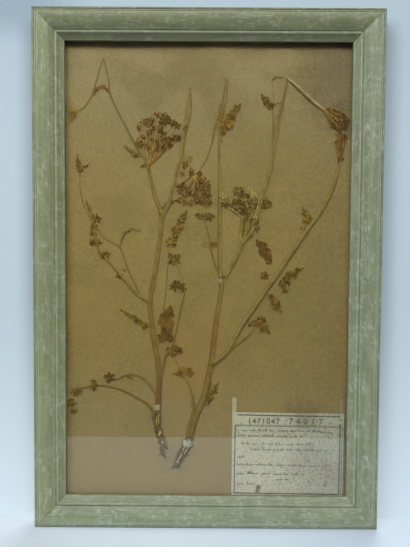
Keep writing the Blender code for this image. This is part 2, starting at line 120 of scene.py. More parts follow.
def join(tree, socket, value):
    """Links an output socket, or sets a plain value."""
    if isinstance(value, bpy.types.NodeSocket):
        tree.links.new(value, socket)
    else:
        socket.default_value = value


def add(tree, kind, inputs=None, **settings):
    """A shader node with its settings and inputs."""
    node = tree.nodes.new("ShaderNode" + kind)
    for key, value in settings.items():
        setattr(node, key, value)
    for key, value in (inputs or {}).items():
        join(tree, node.inputs[key], value)
    return node


def calc(tree, operation, first, second=0.5, clamp=False):
    node = tree.nodes.new("ShaderNodeMath")
    node.operation = operation
    node.use_clamp = clamp
    join(tree, node.inputs[0], first)
    join(tree, node.inputs[1], second)
    return node.outputs[0]


def blend(tree, factor, first, second, kind="MIX"):
    """The colour that lies factor of the way from first to second."""
    node = tree.nodes.new("ShaderNodeMix")
    node.data_type = "RGBA"
    node.blend_type = kind
    for socket, value in ((node.inputs[0], factor), (node.inputs[6], first), (node.inputs[7], second)):
        join(tree, socket, (*value, 1.0) if isinstance(value, tuple) else value)
    return node.outputs[2]


def ramp(tree, value, low, high, to_low=0.0, to_high=1.0):
    """Value taken from the range low to high, smoothly, to another range."""
    inputs = {"Value": value, "From Min": low, "From Max": high, "To Min": to_low, "To Max": to_high}
    return add(tree, "MapRange", inputs, interpolation_type="SMOOTHSTEP").outputs[0]


def stretch(tree, vector, scale, shift=(0.0, 0.0, 0.0)):
    return add(tree, "Mapping", {"Vector": vector, "Scale": scale, "Location": shift}).outputs[0]


def speckle(tree, vector, scale, detail=3.0, roughness=0.55):
    """Cloudy noise from 0 to 1."""
    inputs = {"Vector": vector, "Scale": scale, "Detail": detail, "Roughness": roughness}
    return add(tree, "TexNoise", inputs).outputs[0]


def node_group(name, inputs, outputs):
    """A shader group with (label, kind, value) inputs and (label, kind) outputs."""
    tree = bpy.data.node_groups.new(name, "ShaderNodeTree")
    for label, kind, value in inputs:
        socket = tree.interface.new_socket(label, in_out="INPUT", socket_type="NodeSocket" + kind)
        if value is not None:
            socket.default_value = value
    for label, kind in outputs:
        tree.interface.new_socket(label, in_out="OUTPUT", socket_type="NodeSocket" + kind)
    return tree, tree.nodes.new("NodeGroupInput").outputs, tree.nodes.new("NodeGroupOutput").inputs


def use_group(tree, group, inputs):
    node = tree.nodes.new("ShaderNodeGroup")
    node.node_tree = group
    for key, value in inputs.items():
        join(tree, node.inputs[key], value)
    return node.outputs


def soft_spot_group():
    """A stain: 1 inside Radius of Centre, fading to 0, with a ragged edge."""
    tree, start, end = node_group("soft_spot", (
        ("Vector", "Vector", None), ("Centre", "Vector", None), ("Radius", "Float", 0.01), ("Ragged", "Float", 0.5),
        ("Ragged Scale", "Float", 60.0)), (("Mask", "Float"),))
    away = add(tree, "VectorMath", {0: start["Vector"], 1: start["Centre"]}, operation="SUBTRACT").outputs[0]
    flat = add(tree, "VectorMath", {0: away, 1: (1.0, 0.0, 1.0)}, operation="MULTIPLY").outputs[0]
    far = add(tree, "VectorMath", {0: flat}, operation="LENGTH").outputs["Value"]
    edge = speckle(tree, start["Vector"], start["Ragged Scale"], 4.0)
    wobble = calc(tree, "MULTIPLY", calc(tree, "SUBTRACT", edge, 0.5), start["Ragged"])
    reach = calc(tree, "ADD", calc(tree, "DIVIDE", far, start["Radius"]), wobble)
    join(tree, end["Mask"], ramp(tree, reach, 1.0, 0.35))
    return tree


def mottle_group():
    """Cloudy patches of a given Size in metres: Low and High set where they start and are full."""
    tree, start, end = node_group("mottle", (
        ("Vector", "Vector", None), ("Size", "Float", 0.01), ("Low", "Float", 0.4), ("High", "Float", 0.6)),
        (("Mask", "Float"),))
    clouds = speckle(tree, start["Vector"], calc(tree, "DIVIDE", 1.0, start["Size"]), 4.0)
    join(tree, end["Mask"], ramp(tree, clouds, start["Low"], start["High"]))
    return tree


def streak_group():
    """Long thin marks that follow the grain attribute: x across it and y along it, both in metres."""
    tree, start, end = node_group("streaks", (
        ("Grain", "Vector", None), ("Width", "Float", 0.0006), ("Length", "Float", 0.02), ("Seed", "Float", 0.0),
        ("Low", "Float", 0.45), ("High", "Float", 0.6)), (("Mask", "Float"), ("Raw", "Float")))
    parts = add(tree, "SeparateXYZ", {0: start["Grain"]}).outputs
    across = calc(tree, "DIVIDE", parts[0], start["Width"])
    along = calc(tree, "DIVIDE", parts[1], start["Length"])
    vector = add(tree, "CombineXYZ", {0: across, 1: along, 2: start["Seed"]}).outputs[0]
    raw = speckle(tree, vector, 1.0, 3.0, 0.6)
    join(tree, end["Raw"], raw)
    join(tree, end["Mask"], ramp(tree, raw, start["Low"], start["High"]))
    return tree


SOFT_SPOT = soft_spot_group()
MOTTLE = mottle_group()
STREAKS = streak_group()


def new_material(name, roughness=0.8, metallic=0.0):
    material = bpy.data.materials.new(name)
    material.use_nodes = True
    shader = material.node_tree.nodes["Principled BSDF"]
    shader.inputs["Roughness"].default_value = roughness
    shader.inputs["Metallic"].default_value = metallic
    return material, material.node_tree, shader.inputs


def bump(tree, sockets, height, distance, strength=1.0):
    node = add(tree, "Bump", {"Height": height, "Distance": distance, "Strength": strength})
    join(tree, sockets["Normal"], node.outputs[0])


def mottle(tree, vector, size, low, high):
    return use_group(tree, MOTTLE, {"Vector": vector, "Size": size, "Low": low, "High": high})[0]


def spot(tree, vector, x, y, radius, ragged=0.5, ragged_scale=60.0):
    """A soft_spot at (x, y) of the picture's frame, in millimetres."""
    return use_group(tree, SOFT_SPOT, {
        "Vector": vector, "Centre": HANG @ Vector((x, y, 0)), "Radius": radius * MM, "Ragged": ragged,
        "Ragged Scale": ragged_scale})[0]


# ---- materials ----

# Stains on the sheet: x, y, radius, raggedness and its scale, strength, tint.
PAPER_STAINS = (
    (126, 184, 50, 1.5, 55.0, 0.42, (0.095, 0.072, 0.040)), (134, 150, 26, 1.4, 90.0, 0.45, (0.060, 0.044, 0.026)),
    (118, 210, 42, 1.5, 60.0, 0.30, (0.110, 0.085, 0.045)), (95, -143, 26, 1.3, 90.0, 0.42, (0.110, 0.078, 0.036)),
    (-106, -200, 1.5, 0.4, 300.0, 0.8, (0.06, 0.04, 0.03)), (-79, -153, 1.3, 0.4, 300.0, 0.7, (0.08, 0.045, 0.03)),
    (-103, 42, 60, 1.5, 40.0, 0.22, (0.31, 0.20, 0.065)), (-25, 178, 1.0, 0.4, 300.0, 0.6, (0.07, 0.05, 0.03)),
    (-52, -146, 12, 1.2, 120.0, 0.28, (0.13, 0.105, 0.06)), (-30, -188, 22, 1.3, 110.0, 0.22, (0.16, 0.14, 0.10)),
    (40, -20, 75, 1.6, 35.0, 0.20, (0.27, 0.185, 0.050)), (-30, -8, 26, 1.5, 60.0, 0.25, (0.30, 0.235, 0.10)),
    (-34, 85, 20, 1.5, 70.0, 0.22, (0.31, 0.25, 0.115)), (-58, 176, 30, 1.6, 40.0, 0.62, (0.170, 0.130, 0.042)),
    (-14, 196, 32, 1.6, 40.0, 0.60, (0.180, 0.138, 0.044)), (16, 160, 34, 1.6, 40.0, 0.55, (0.180, 0.130, 0.038)),
    (-110, 196, 26, 1.5, 60.0, 0.20, (0.30, 0.25, 0.13)), (-86, 60, 30, 1.5, 45.0, 0.42, (0.20, 0.150, 0.042)),
    (-20, -85, 50, 1.6, 35.0, 0.50, (0.29, 0.17, 0.040)), (-120, -40, 44, 1.6, 35.0, 0.42, (0.29, 0.185, 0.045)),
    (60, 120, 46, 1.6, 35.0, 0.42, (0.190, 0.146, 0.032)), (80, -40, 50, 1.6, 35.0, 0.42, (0.195, 0.150, 0.040)),
    (-60, -150, 34, 1.6, 45.0, 0.30, (0.215, 0.172, 0.060)),
)


def limed_wood(name, seed, paint, lime, groove):
    """Green stain on open-grained wood, wiped with white that stays in the grain; bare wood at the back."""
    material, tree, sockets = new_material(name, 0.55)
    grain = add(tree, "Attribute", attribute_name="grain").outputs["Vector"]
    edge = add(tree, "Attribute", attribute_name="edge").outputs["Vector"]
    crest = add(tree, "SeparateXYZ", {0: grain}).outputs[2]
    mitre, bare, _ = add(tree, "SeparateXYZ", {0: edge}).outputs
    place = add(tree, "TexCoord").outputs["Object"]

    def streaks(width, length, low, high, shift=0.0):
        return use_group(tree, STREAKS, {"Grain": grain, "Width": width, "Length": length, "Seed": seed + shift,
                                         "Low": low, "High": high})

    broad = streaks(0.0045, 0.050, 0.38, 0.66)["Mask"]
    lines = streaks(0.0010, 0.011, 0.52, 0.64, 3.1)["Mask"]
    hairs = streaks(0.00040, 0.006, 0.52, 0.64, 6.3)["Mask"]
    pores = streaks(0.00035, 0.0060, 0.58, 0.70, 9.7)["Mask"]
    patches = mottle(tree, place, 0.016, 0.40, 0.60)
    dark_paint = tuple(part * 0.80 for part in paint)
    colour = blend(tree, broad, dark_paint, paint)
    white = calc(tree, "ADD", calc(tree, "MULTIPLY", lines, 0.65), calc(tree, "MULTIPLY", hairs, 0.40))
    dabs = calc(tree, "MULTIPLY", mottle(tree, place, 0.0045, 0.50, 0.64), 0.35)
    white = calc(tree, "ADD", calc(tree, "MULTIPLY", white, 0.7), dabs)
    white = calc(tree, "MULTIPLY", white, ramp(tree, patches, 0.0, 1.0, 0.25, 1.0), clamp=True)
    colour = blend(tree, white, colour, lime)
    colour = blend(tree, calc(tree, "MULTIPLY", pores, 0.45), colour, tuple(part * 0.45 for part in paint))
    # Painted highlight: beads and other proud parts, and the bottom rail's cove, get more lime where light would fall
    # on them.
    colour = blend(tree, ramp(tree, crest, 0.15, 1.0, 0.0, 0.35), colour, lime)
    # Painted shade: grooves, the lip over the sheet, the top rail's cove and the outer beads of the bottom rail and
    # right stile are painted darker, as much as the rail's groove value says.
    colour = blend(tree, ramp(tree, crest, -0.1, -0.9, 0.0, groove), colour, tuple(part * 0.35 for part in paint))
    colour = blend(tree, ramp(tree, mitre, 0.0007, 0.0, 0.0, 0.55), colour, tuple(part * 0.35 for part in paint))
    raw_wood = blend(tree, lines, (0.42, 0.28, 0.15), (0.31, 0.19, 0.09))
    raw_wood = blend(tree, pores, raw_wood, (0.17, 0.09, 0.04))
    colour = blend(tree, bare, colour, raw_wood)
    join(tree, sockets["Base Color"], colour)
    join(tree, sockets["Roughness"], ramp(tree, white, 0.0, 1.0, 0.46, 0.72))
    height = calc(tree, "SUBTRACT", calc(tree, "MULTIPLY", white, 0.3), pores)
    bump(tree, sockets, calc(tree, "ADD", height, calc(tree, "MULTIPLY", broad, 0.5)), 0.00012, 0.7)
    return material


def mounting_paper():
    """Old brown paper: fibres, cloudy patches, a dark stain in one corner, specks and a smudge by the label."""
    material, tree, sockets = new_material("mounting_paper", 0.9)
    place = add(tree, "TexCoord").outputs["Object"]
    fibres = speckle(tree, stretch(tree, place, (900.0, 1.0, 340.0)), 1.0, 3.0, 0.7)
    weave = speckle(tree, stretch(tree, place, (330.0, 1.0, 850.0)), 1.0, 2.0, 0.6)
    clouds = mottle(tree, place, 0.040, 0.38, 0.62)
    flecks = mottle(tree, place, 0.0028, 0.40, 0.64)
    dust = mottle(tree, place, 0.0013, 0.45, 0.65)
    cockle_shade = mottle(tree, stretch(tree, place, (1.0, 1.0, 1.9)), 0.050, 0.40, 0.62)
    side, _, up = add(tree, "SeparateXYZ", {0: place}).outputs

    def rises(y_from, y_to, most):
        return ramp(tree, up, SIGHT_MID_Z + y_from * MM, SIGHT_MID_Z + y_to * MM, 0.0, most)

    tan, umber, grey_tan = (0.275, 0.195, 0.042), (0.228, 0.161, 0.032), (0.248, 0.196, 0.080)
    warm = mottle(tree, stretch(tree, place, (1.0, 1.0, 0.7)), 0.060, 0.42, 0.60)
    blotches = mottle(tree, place, 0.0075, 0.38, 0.66)
    colour = blend(tree, clouds, umber, tan)
    colour = blend(tree, calc(tree, "MULTIPLY", warm, 0.6), colour, (0.280, 0.176, 0.038))
    colour = blend(tree, calc(tree, "MULTIPLY", blotches, 0.5), colour, (0.208, 0.162, 0.036))
    colour = blend(tree, rises(40, 190, 0.9), colour, grey_tan)
    # Painted shade of the cockles near the top: darker cloudy bands where the waves turn from the light.
    colour = blend(tree, calc(tree, "MULTIPLY", cockle_shade, rises(120, 190, 0.6)), colour, (0.180, 0.134, 0.050))
    # Paler towards the bottom: painted light, for the brighter lower part of the sheet.
    colour = blend(tree, rises(-60, -175, 0.8), colour, (0.292, 0.218, 0.090))
    colour = blend(tree, ramp(tree, side, 0.050, 0.137, 0.0, 0.55), colour, (0.176, 0.130, 0.042))
    colour = blend(tree, calc(tree, "MULTIPLY", flecks, 0.30), colour, (0.322, 0.238, 0.090))
    colour = blend(tree, calc(tree, "MULTIPLY", dust, 0.25), colour, (0.150, 0.100, 0.030))
    colour = blend(tree, ramp(tree, fibres, 0.50, 0.72, 0.0, 0.40), colour, (0.35, 0.262, 0.105))
    colour = blend(tree, ramp(tree, weave, 0.50, 0.30, 0.0, 0.38), colour, (0.13, 0.085, 0.03))
    for x, y, radius, ragged, ragged_scale, strength, tint in PAPER_STAINS:
        mask = calc(tree, "MULTIPLY", spot(tree, place, x, y, radius, ragged, ragged_scale), strength)
        mask = calc(tree, "MULTIPLY", mask, ramp(tree, flecks, 0.0, 1.0, 1.0, 0.7))
        colour = blend(tree, mask, colour, tint)
    join(tree, sockets["Base Color"], colour)
    bump(tree, sockets, calc(tree, "ADD", fibres, weave), 0.00012, 0.6)
    return material


def label_paper(name, tone, spots):
    """Aged printed card or slip, greyer on its right, with foxing."""
    material, tree, sockets = new_material(name, 0.85)
    place = add(tree, "TexCoord").outputs["Object"]
    side = add(tree, "SeparateXYZ", {0: place}).outputs[0]
    clouds = mottle(tree, place, 0.014, 0.34, 0.68)
    fibres = speckle(tree, place, 1600.0, 3.0, 0.7)
    grey = tuple(part * shade for part, shade in zip(tone, (0.74, 0.78, 0.80)))
    colour = blend(tree, ramp(tree, side, 0.045, 0.13), tone, grey)
    colour = blend(tree, calc(tree, "MULTIPLY", clouds, 0.35), colour, tuple(part * 0.78 for part in tone))
    colour = blend(tree, ramp(tree, fibres, 0.55, 0.75, 0.0, 0.3), colour, tuple(part * 0.6 for part in tone))
    foxing = mottle(tree, place, 0.0032, 0.50, 0.68)
    colour = blend(tree, calc(tree, "MULTIPLY", foxing, 0.45), colour, tuple(part * 0.55 for part in tone))
    dirt = mottle(tree, place, 0.0016, 0.50, 0.66)
    dirt = calc(tree, "MULTIPLY", dirt, ramp(tree, side, 0.05, 0.12, 0.25, 0.6))
    colour = blend(tree, dirt, colour, (0.13, 0.105, 0.065))
    for x, y, radius, strength in spots:
        mask = calc(tree, "MULTIPLY", spot(tree, place, x, y, radius, 0.7, 260.0), strength)
        colour = blend(tree, mask, colour, (0.150, 0.080, 0.024))
    join(tree, sockets["Base Color"], colour)
    bump(tree, sockets, fibres, 0.00005, 0.5)
    return material


def plain_ink(name, colour):
    """Printer's or writer's ink, thinner in places where the paper shows through."""
    material, tree, sockets = new_material(name, 0.7)
    place = add(tree, "TexCoord").outputs["Object"]
    worn = mottle(tree, place, 0.0012, 0.40, 0.68)
    join(tree, sockets["Base Color"], blend(tree, calc(tree, "MULTIPLY", worn, 0.5), colour, (0.26, 0.24, 0.17)))
    return material


def dried_plant(name, dark, mid, pale, roughness, rim, blush=None):
    """Dried stalk, leaf, root or flower: streaks along its grain, a darker rim, and a tone of its own per part.

    A blush is the colour that its lower end turns to.
    """
    material, tree, sockets = new_material(name, roughness)
    sockets["Specular IOR Level"].default_value = 0.15
    grain = add(tree, "Attribute", attribute_name="grain").outputs["Vector"]
    edge = add(tree, "Attribute", attribute_name="edge").outputs["Vector"]
    tone = add(tree, "SeparateXYZ", {0: grain}).outputs[2]
    side = add(tree, "SeparateXYZ", {0: edge}).outputs[0]
    place = add(tree, "TexCoord").outputs["Object"]
    ribs = use_group(tree, STREAKS, {"Grain": grain, "Width": 0.00045, "Length": 0.012, "Low": 0.38, "High": 0.66})
    patches = mottle(tree, place, 0.006, 0.34, 0.68)
    colour = blend(tree, ramp(tree, tone, 0.0, 0.5), dark, mid)
    colour = blend(tree, ramp(tree, tone, 0.4, 1.0), colour, pale)
    colour = blend(tree, calc(tree, "MULTIPLY", ribs["Mask"], 0.4), colour, pale)
    colour = blend(tree, calc(tree, "MULTIPLY", patches, 0.4), colour, dark)
    if blush:
        up = add(tree, "SeparateXYZ", {0: place}).outputs[2]
        colour = blend(tree, ramp(tree, up, SIGHT_MID_Z - 0.060, SIGHT_MID_Z - 0.125, 0.0, 0.7), colour, blush)
    # The darker rim is partly the skin's own darker edge and partly painted shade where a stalk turns away from the
    # light.
    colour = blend(tree, ramp(tree, side, 0.45, 1.0, 0.0, rim), colour, tuple(part * 0.5 for part in dark))
    join(tree, sockets["Base Color"], colour)
    bump(tree, sockets, ribs["Raw"], 0.00015, 0.8)
    return material


def hardboard():
    """Brown pressed board: its back has the fine crossed mesh of the press."""
    material, tree, sockets = new_material("hardboard", 0.8)
    place = add(tree, "TexCoord").outputs["Object"]
    wires = add(tree, "TexWave", {"Vector": place, "Scale": 190.0, "Distortion": 0.6}, bands_direction="X")
    cross = add(tree, "TexWave", {"Vector": place, "Scale": 190.0, "Distortion": 0.6}, bands_direction="Z")
    mesh = calc(tree, "MULTIPLY", wires.outputs["Fac"], cross.outputs["Fac"])
    clouds = mottle(tree, place, 0.03, 0.3, 0.7)
    chips = mottle(tree, place, 0.0016, 0.45, 0.7)
    colour = blend(tree, clouds, (0.115, 0.062, 0.030), (0.165, 0.092, 0.045))
    colour = blend(tree, calc(tree, "MULTIPLY", chips, 0.4), colour, (0.24, 0.15, 0.08))
    colour = blend(tree, calc(tree, "MULTIPLY", mesh, 0.35), colour, (0.07, 0.035, 0.018))
    join(tree, sockets["Base Color"], colour)
    bump(tree, sockets, calc(tree, "ADD", mesh, calc(tree, "MULTIPLY", chips, 0.5)), 0.00025, 0.8)
    return material


def steel(name, colour, roughness, tarnish):
    """Sheet steel with brushed wear and patches of tarnish."""
    material, tree, sockets = new_material(name, roughness, 1.0)
    place = add(tree, "TexCoord").outputs["Object"]
    brushed = speckle(tree, stretch(tree, place, (500.0, 500.0, 6000.0)), 1.0, 2.0)
    patches = mottle(tree, place, 0.004, 0.45, 0.68)
    mixed = blend(tree, calc(tree, "MULTIPLY", patches, tarnish), colour, (0.20, 0.13, 0.08))
    join(tree, sockets["Base Color"], mixed)
    join(tree, sockets["Roughness"], ramp(tree, patches, 0.0, 1.0, roughness, roughness + 0.25))
    bump(tree, sockets, brushed, 0.00003, 0.6)
    return material


def pane_glass():
    """Picture glass, which lets light straight through to the sheet."""
    material, tree, sockets = new_material("pane_glass", 0.01)
    sockets["Base Color"].default_value = (0.985, 1.0, 0.99, 1.0)
    sockets["Transmission Weight"].default_value = 1.0
    sockets["IOR"].default_value = 1.5
    shader = tree.nodes["Principled BSDF"]
    clear = add(tree, "BsdfTransparent")
    light = add(tree, "LightPath")
    mixed = add(tree, "MixShader", {0: light.outputs["Is Shadow Ray"], 1: shader.outputs[0], 2: clear.outputs[0]})
    join(tree, tree.nodes["Material Output"].inputs["Surface"], mixed.outputs[0])
    return material


# ---- mesh helpers: shapes are drawn in millimetres in the picture's own frame ----


def piece(name, shape, material, replaced=(), sharp=None):
    """Hangs a drawn shape in its place, gives it its body, and hides the CAD nodes that it stands for."""
    bmesh.ops.transform(shape, matrix=HANG, verts=shape.verts)
    bmesh.ops.recalc_face_normals(shape, faces=shape.faces)
    mesh = bpy.data.meshes.new(name)
    shape.to_mesh(mesh)
    shape.free()
    mesh.materials.append(material)
    if sharp is not None:
        mesh.shade_smooth()
        mesh.set_sharp_from_angle(angle=math.radians(sharp))
    obj = bpy.data.objects.new(name, mesh)
    bpy.context.scene.collection.objects.link(obj)
    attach(obj, "root")
    if replaced:
        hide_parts(*replaced)
    return obj


def dress(node, material):
    """A CAD node that keeps its shape gets its finish."""
    obj = bpy.data.objects[node]
    obj.data.materials.clear()
    obj.data.materials.append(material)


def drawing():
    """A bmesh with the two layers that the materials read.

    grain holds the distance across and along the grain, in metres, and a tone or crest; edge holds how near the rim
    or the joint is, and how bare the wood is.
    """
    shape = bmesh.new()
    shape.verts.layers.float_vector.new("grain")
    shape.verts.layers.float_vector.new("edge")
    return shape


def layers(shape):
    found = shape.verts.layers.float_vector
    return found["grain"], found["edge"]


def ring_edges(shape, ring):
    return [shape.edges.get((a, b)) for a, b in zip(ring, ring[1:] + ring[:1])]


def next_ring(shape, ring):
    """A ring pushed out of this one, its points in the same order."""
    pushed = bmesh.ops.extrude_edge_only(shape, edges=ring_edges(shape, ring))["geom"]
    fresh = {vert for vert in pushed if isinstance(vert, bmesh.types.BMVert)}
    return [next(e.other_vert(v) for e in v.link_edges if e.other_vert(v) in fresh) for v in ring]


def smooth_rows(rows, step):
    """Stations on a smooth curve through rows of (x, y, height, width), about step apart."""
    rows = [Vector(row) for row in rows]
    rows = [2 * rows[0] - rows[1], *rows, 2 * rows[-1] - rows[-2]]
    stations = []
    for a, b, c, d in zip(rows, rows[1:], rows[2:], rows[3:]):
        count = max(1, round((c - b).xyz.length / step))
        for number in range(count):
            t = number / count
            stations.append((2 * b + (c - a) * t + (2 * a - 5 * b + 4 * c - d) * t ** 2
                             + (3 * b - a - 3 * c + d) * t ** 3) / 2)
    return stations + [rows[-2]]


def sweep(shape, rows, sides=10, flatness=STALK_FLATNESS, step=2.0, tone=0.5, ribs=0, lumps=0.0, seed=0.0):
    """A closed stalk along rows of (x, y, height of its underside, width)."""
    grain, edge = layers(shape)
    stations = smooth_rows(rows, step)
    ring = bmesh.ops.create_circle(shape, segments=sides, radius=1.0)["verts"]
    first, along = ring, 0.0
    for number, station in enumerate(stations):
        before = stations[max(number - 1, 0)].xyz
        after = stations[min(number + 1, len(stations) - 1)].xyz
        heading = (after - before).normalized()
        beside = Vector((-heading.y, heading.x, 0)).normalized()
        if number:
            ring = next_ring(shape, ring)
            along += (station.xyz - stations[number - 1].xyz).length * MM
        for turn, vert in enumerate(ring):
            angle = 2 * math.pi * (turn + 0.5) / sides
            swell = 1.0 + (STALK_RIB * math.cos(ribs * angle) if ribs else 0.0)
            if lumps:
                swell += lumps * noise.noise(Vector((3 * math.cos(angle), 3 * math.sin(angle), along * 400 + seed)))
            half = station.w / 2 * swell
            up = half * flatness * math.sin(angle) + station.w / 2 * flatness
            vert.co = station.xyz + beside * half * math.cos(angle) + Vector((0, 0, up))
            vert[grain] = (half * angle * MM, along + seed, tone)
            vert[edge] = (abs(math.cos(angle)), 0, 0)
    shape.faces.new(first)
    shape.faces.new(ring[::-1])


def paper_rise(x, y):
    """How far the sheet stands off the board: it cockles towards its top edge."""
    fade = min(max((y - 60) / 110, 0.0), 1.0)
    wave = noise.noise(Vector((x * 0.016 + 4.1, y * 0.021, 0.3))) + 0.5
    ripple = 0.10 * noise.noise(Vector((x * 0.05, y * 0.04, 7.7)))
    return min(max(1.2 * fade * wave + ripple, -0.15), 1.1)


def level(x, y, above=0.0):
    """A height just over the sheet."""
    return SHEET_TOP + 0.05 + above + max(paper_rise(x, y), 0.0)


# ---- the moulding ----


def oval_arc(centre, radii, start, end, steps=10):
    points = []
    for step in range(steps + 1):
        angle = math.radians(start + (end - start) * step / steps)
        points.append((centre[0] + radii[0] * math.cos(angle), centre[1] + radii[1] * math.sin(angle)))
    return points


def moulding_profile():
    """(out from the sight edge, height, bare wood) points, once round."""
    painted = [(RAIL_W, 1.0)]
    painted += oval_arc(OUTER_BEAD, OUTER_BEAD_RADII, 0, 180)
    painted += oval_arc(SECOND_BEAD, SECOND_BEAD_RADII, 0, 180)
    crown_ends = [math.degrees(math.acos((out - CROWN[0]) / CROWN_R)) for out in (CROWN_FROM, CROWN_TO)]
    painted += oval_arc(CROWN, CROWN_RADII, *crown_ends, 20)
    painted += oval_arc(INNER_BEAD, INNER_BEAD_RADII, 0, 180)
    for step in range(COVE_STEPS):
        part = step / COVE_STEPS
        straight = COVE_TOP + (LIP_TOP - COVE_TOP) * part
        painted.append((COVE_OUT - (COVE_OUT - LIP_R) * part, straight - COVE_SAG * math.sin(math.pi * part)))
    painted += oval_arc((LIP_R, LIP_TOP - LIP_R), (LIP_R, LIP_R), 90, 180, 5)
    painted += [(0.0, LIP_BACK + 0.3)]
    bare = [(0.3, LIP_BACK), (REBATE_W, LIP_BACK), (REBATE_W, 0.4), (REBATE_W + 0.4, 0.0), (RAIL_W - 1.0, 0.0)]
    return [(out, height, 0.0) for out, height in painted] + [(out, height, 1.0) for out, height in bare]


def crest(profile, number, cove, outer):
    """How far a point stands proud of those near it: 1 on a bead, -1 in a groove and on the lip over the sheet.

    The cove and the outer bead are given per rail. The finish paints this value as light and shade: painted highlight
    where it is well above 0 and painted shade below 0, so the given values put painted light on the bottom rail's
    cove and painted shade on the top rail's cove and on the outer beads of the bottom rail and right stile.
    """
    out, height, _ = profile[number]
    if out < 0.4:
        return -1.0
    if out < 5.6:
        return cove
    if out > RAIL_W - 1.4:
        return outer
    near = [other[1] for other in profile if abs(other[0] - out) < 1.6 and abs(other[1] - height) < 3.0]
    return max(-1.0, min(1.0, (height - sum(near) / len(near)) / 0.6))


def rail(side, run, offset, quarter, cove, outer, material):
    """One moulded length, mitred at both ends, with the slight unevenness of a hand-finished moulding."""
    profile = moulding_profile()
    shape = drawing()
    grain, edge = layers(shape)
    ring = bmesh.ops.create_circle(shape, segments=len(profile), radius=1.0)["verts"]
    first = ring
    turn = Matrix.Rotation(quarter * math.pi / 2, 3, "Z")
    for number in range(RAIL_STATIONS + 1):
        part = 2 * number / RAIL_STATIONS - 1
        if number:
            ring = next_ring(shape, ring)
        travelled = 0.0
        for at, (vert, (out, height, bare)) in enumerate(zip(ring, profile)):
            along = part * (run / 2 + out - 0.04)
            if at:
                travelled += math.dist(profile[at][:2], profile[at - 1][:2])
            worn = RAIL_WEAR * noise.noise(Vector((along * 0.05, travelled * 0.3, quarter * 5.3))) * (height > 12)
            vert.co = turn @ Vector((along, -offset - out, height + worn))
            vert[grain] = (travelled * MM, (along + 700 * quarter) * MM, crest(profile, at, cove, outer))
            vert[edge] = ((run / 2 + out - abs(along)) * MM, bare, 0)
    shape.faces.new(first)
    shape.faces.new(ring[::-1])
    piece(f"{side}_moulding", shape, material, (f"frame_{side}_rail",), 40)


# Green stain and the white in its grain, in plain, cooler and shaded tones; the shaded tones are painted shade on the
# top rail, which the light reaches less.
SAGE, COOL_SAGE, SHADED_SAGE = (0.355, 0.385, 0.190), (0.335, 0.380, 0.215), (0.275, 0.300, 0.142)
CHALK, COOL_CHALK, SHADED_CHALK = (0.60, 0.63, 0.46), (0.62, 0.67, 0.54), (0.50, 0.53, 0.38)

# Rails: side, length and distance of its sight edge, quarter turns, crest of its cove and of its outer bead, which
# paint light on them above 0 and shade below 0; then its finish: name, seed of the grain, stain, lime, and how dark
# its grooves are painted, as painted shade.
RAILS = (
    ("bottom", SIGHT_W, SIGHT_H / 2, 0, 0.35, -1.0, ("limed_bottom_rail", 2.0, COOL_SAGE, COOL_CHALK, 0.62)),
    ("right", SIGHT_H, SIGHT_W / 2, 1, 0.0, -0.5, ("limed_right_stile", 14.0, COOL_SAGE, COOL_CHALK, 0.2)),
    ("top", SIGHT_W, SIGHT_H / 2, 2, -0.45, 0.0, ("limed_top_rail", 27.0, SHADED_SAGE, SHADED_CHALK, 0.8)),
    ("left", SIGHT_H, SIGHT_W / 2, 3, 0.0, 0.0, ("limed_left_stile", 41.0, SAGE, CHALK, 0.06)),
)


def make_moulding():
    for *shape, finish in RAILS:
        rail(*shape, limed_wood(*finish))


# ---- sheet, label and strips ----


def make_sheet():
    """The mounting sheet, cockled towards the top."""
    shape = bmesh.new()
    bmesh.ops.create_grid(shape, x_segments=72, y_segments=112, size=0.5)
    for vert in shape.verts:
        x, y = vert.co.x * PANEL_W, vert.co.y * PANEL_H
        vert.co = (x, y, SHEET_TOP + paper_rise(x, y))
    bmesh.ops.solidify(shape, geom=shape.faces[:], thickness=SHEET_THICK - 0.05)
    piece("cockled_sheet", shape, mounting_paper(), ("herbarium_sheet",), 60)


LABEL_LEFT, LABEL_RIGHT = 25.6, 135.6
LABEL_TOP, LABEL_BOTTOM = -138.7, -222.5
LABEL_MID = Vector(((LABEL_LEFT + LABEL_RIGHT) / 2, (LABEL_TOP + LABEL_BOTTOM) / 2))
LABEL_TURN = math.radians(-0.5)

# Brown spots on the label: x, y, radius, strength.
CARD_SPOTS = (
    (52, -213.5, 3.6, 0.95), (51, -217, 3.0, 0.8), (118, -211, 3.0, 0.6), (126, -200, 14.0, 0.25),
    (98, -144, 17.0, 0.35), (104, -190, 30, 0.18),
)

# Lines of handwriting on the label: where each starts, its height on the sheet, and where it ends.
PEN_LINES = (
    (36, -157.2, 112), (31, -162.6, 96), (35, -170.5, 104), (44, -176.2, 118), (31, -184.0, 38),
    (31, -191.6, 122), (31, -200.4, 98), (31, -210.8, 48), (112, -158.0, 124), (70, -206.0, 84),
)

# Straps over the stalks: name, centre, width, height, turn, how high it arches, tone.
STRAPS = (
    ("left_stem", (-48.2, -133.8), 6.6, 5.6, 0.0, 2.2, (0.37, 0.31, 0.17)),
    ("right_node", (13.1, -8.6), 6.0, 5.0, 0.0, 1.7, (0.30, 0.23, 0.10)),
    ("right_root", (-18.1, -169.4), 9.4, 5.6, -0.15, 3.3, (0.42, 0.39, 0.27)),
)


def label_point(x, y, height):
    """A point of the label, turned with it, where x and y are read on its face."""
    turned = Matrix.Rotation(LABEL_TURN, 2) @ (Vector((x, y)) - LABEL_MID) + LABEL_MID
    return Vector((turned.x, turned.y, height + label_curl(turned.x, turned.y)))


def label_curl(x, y):
    return 0.16 * (0.5 + noise.noise(Vector((x * 0.03, y * 0.04, 2.2))))


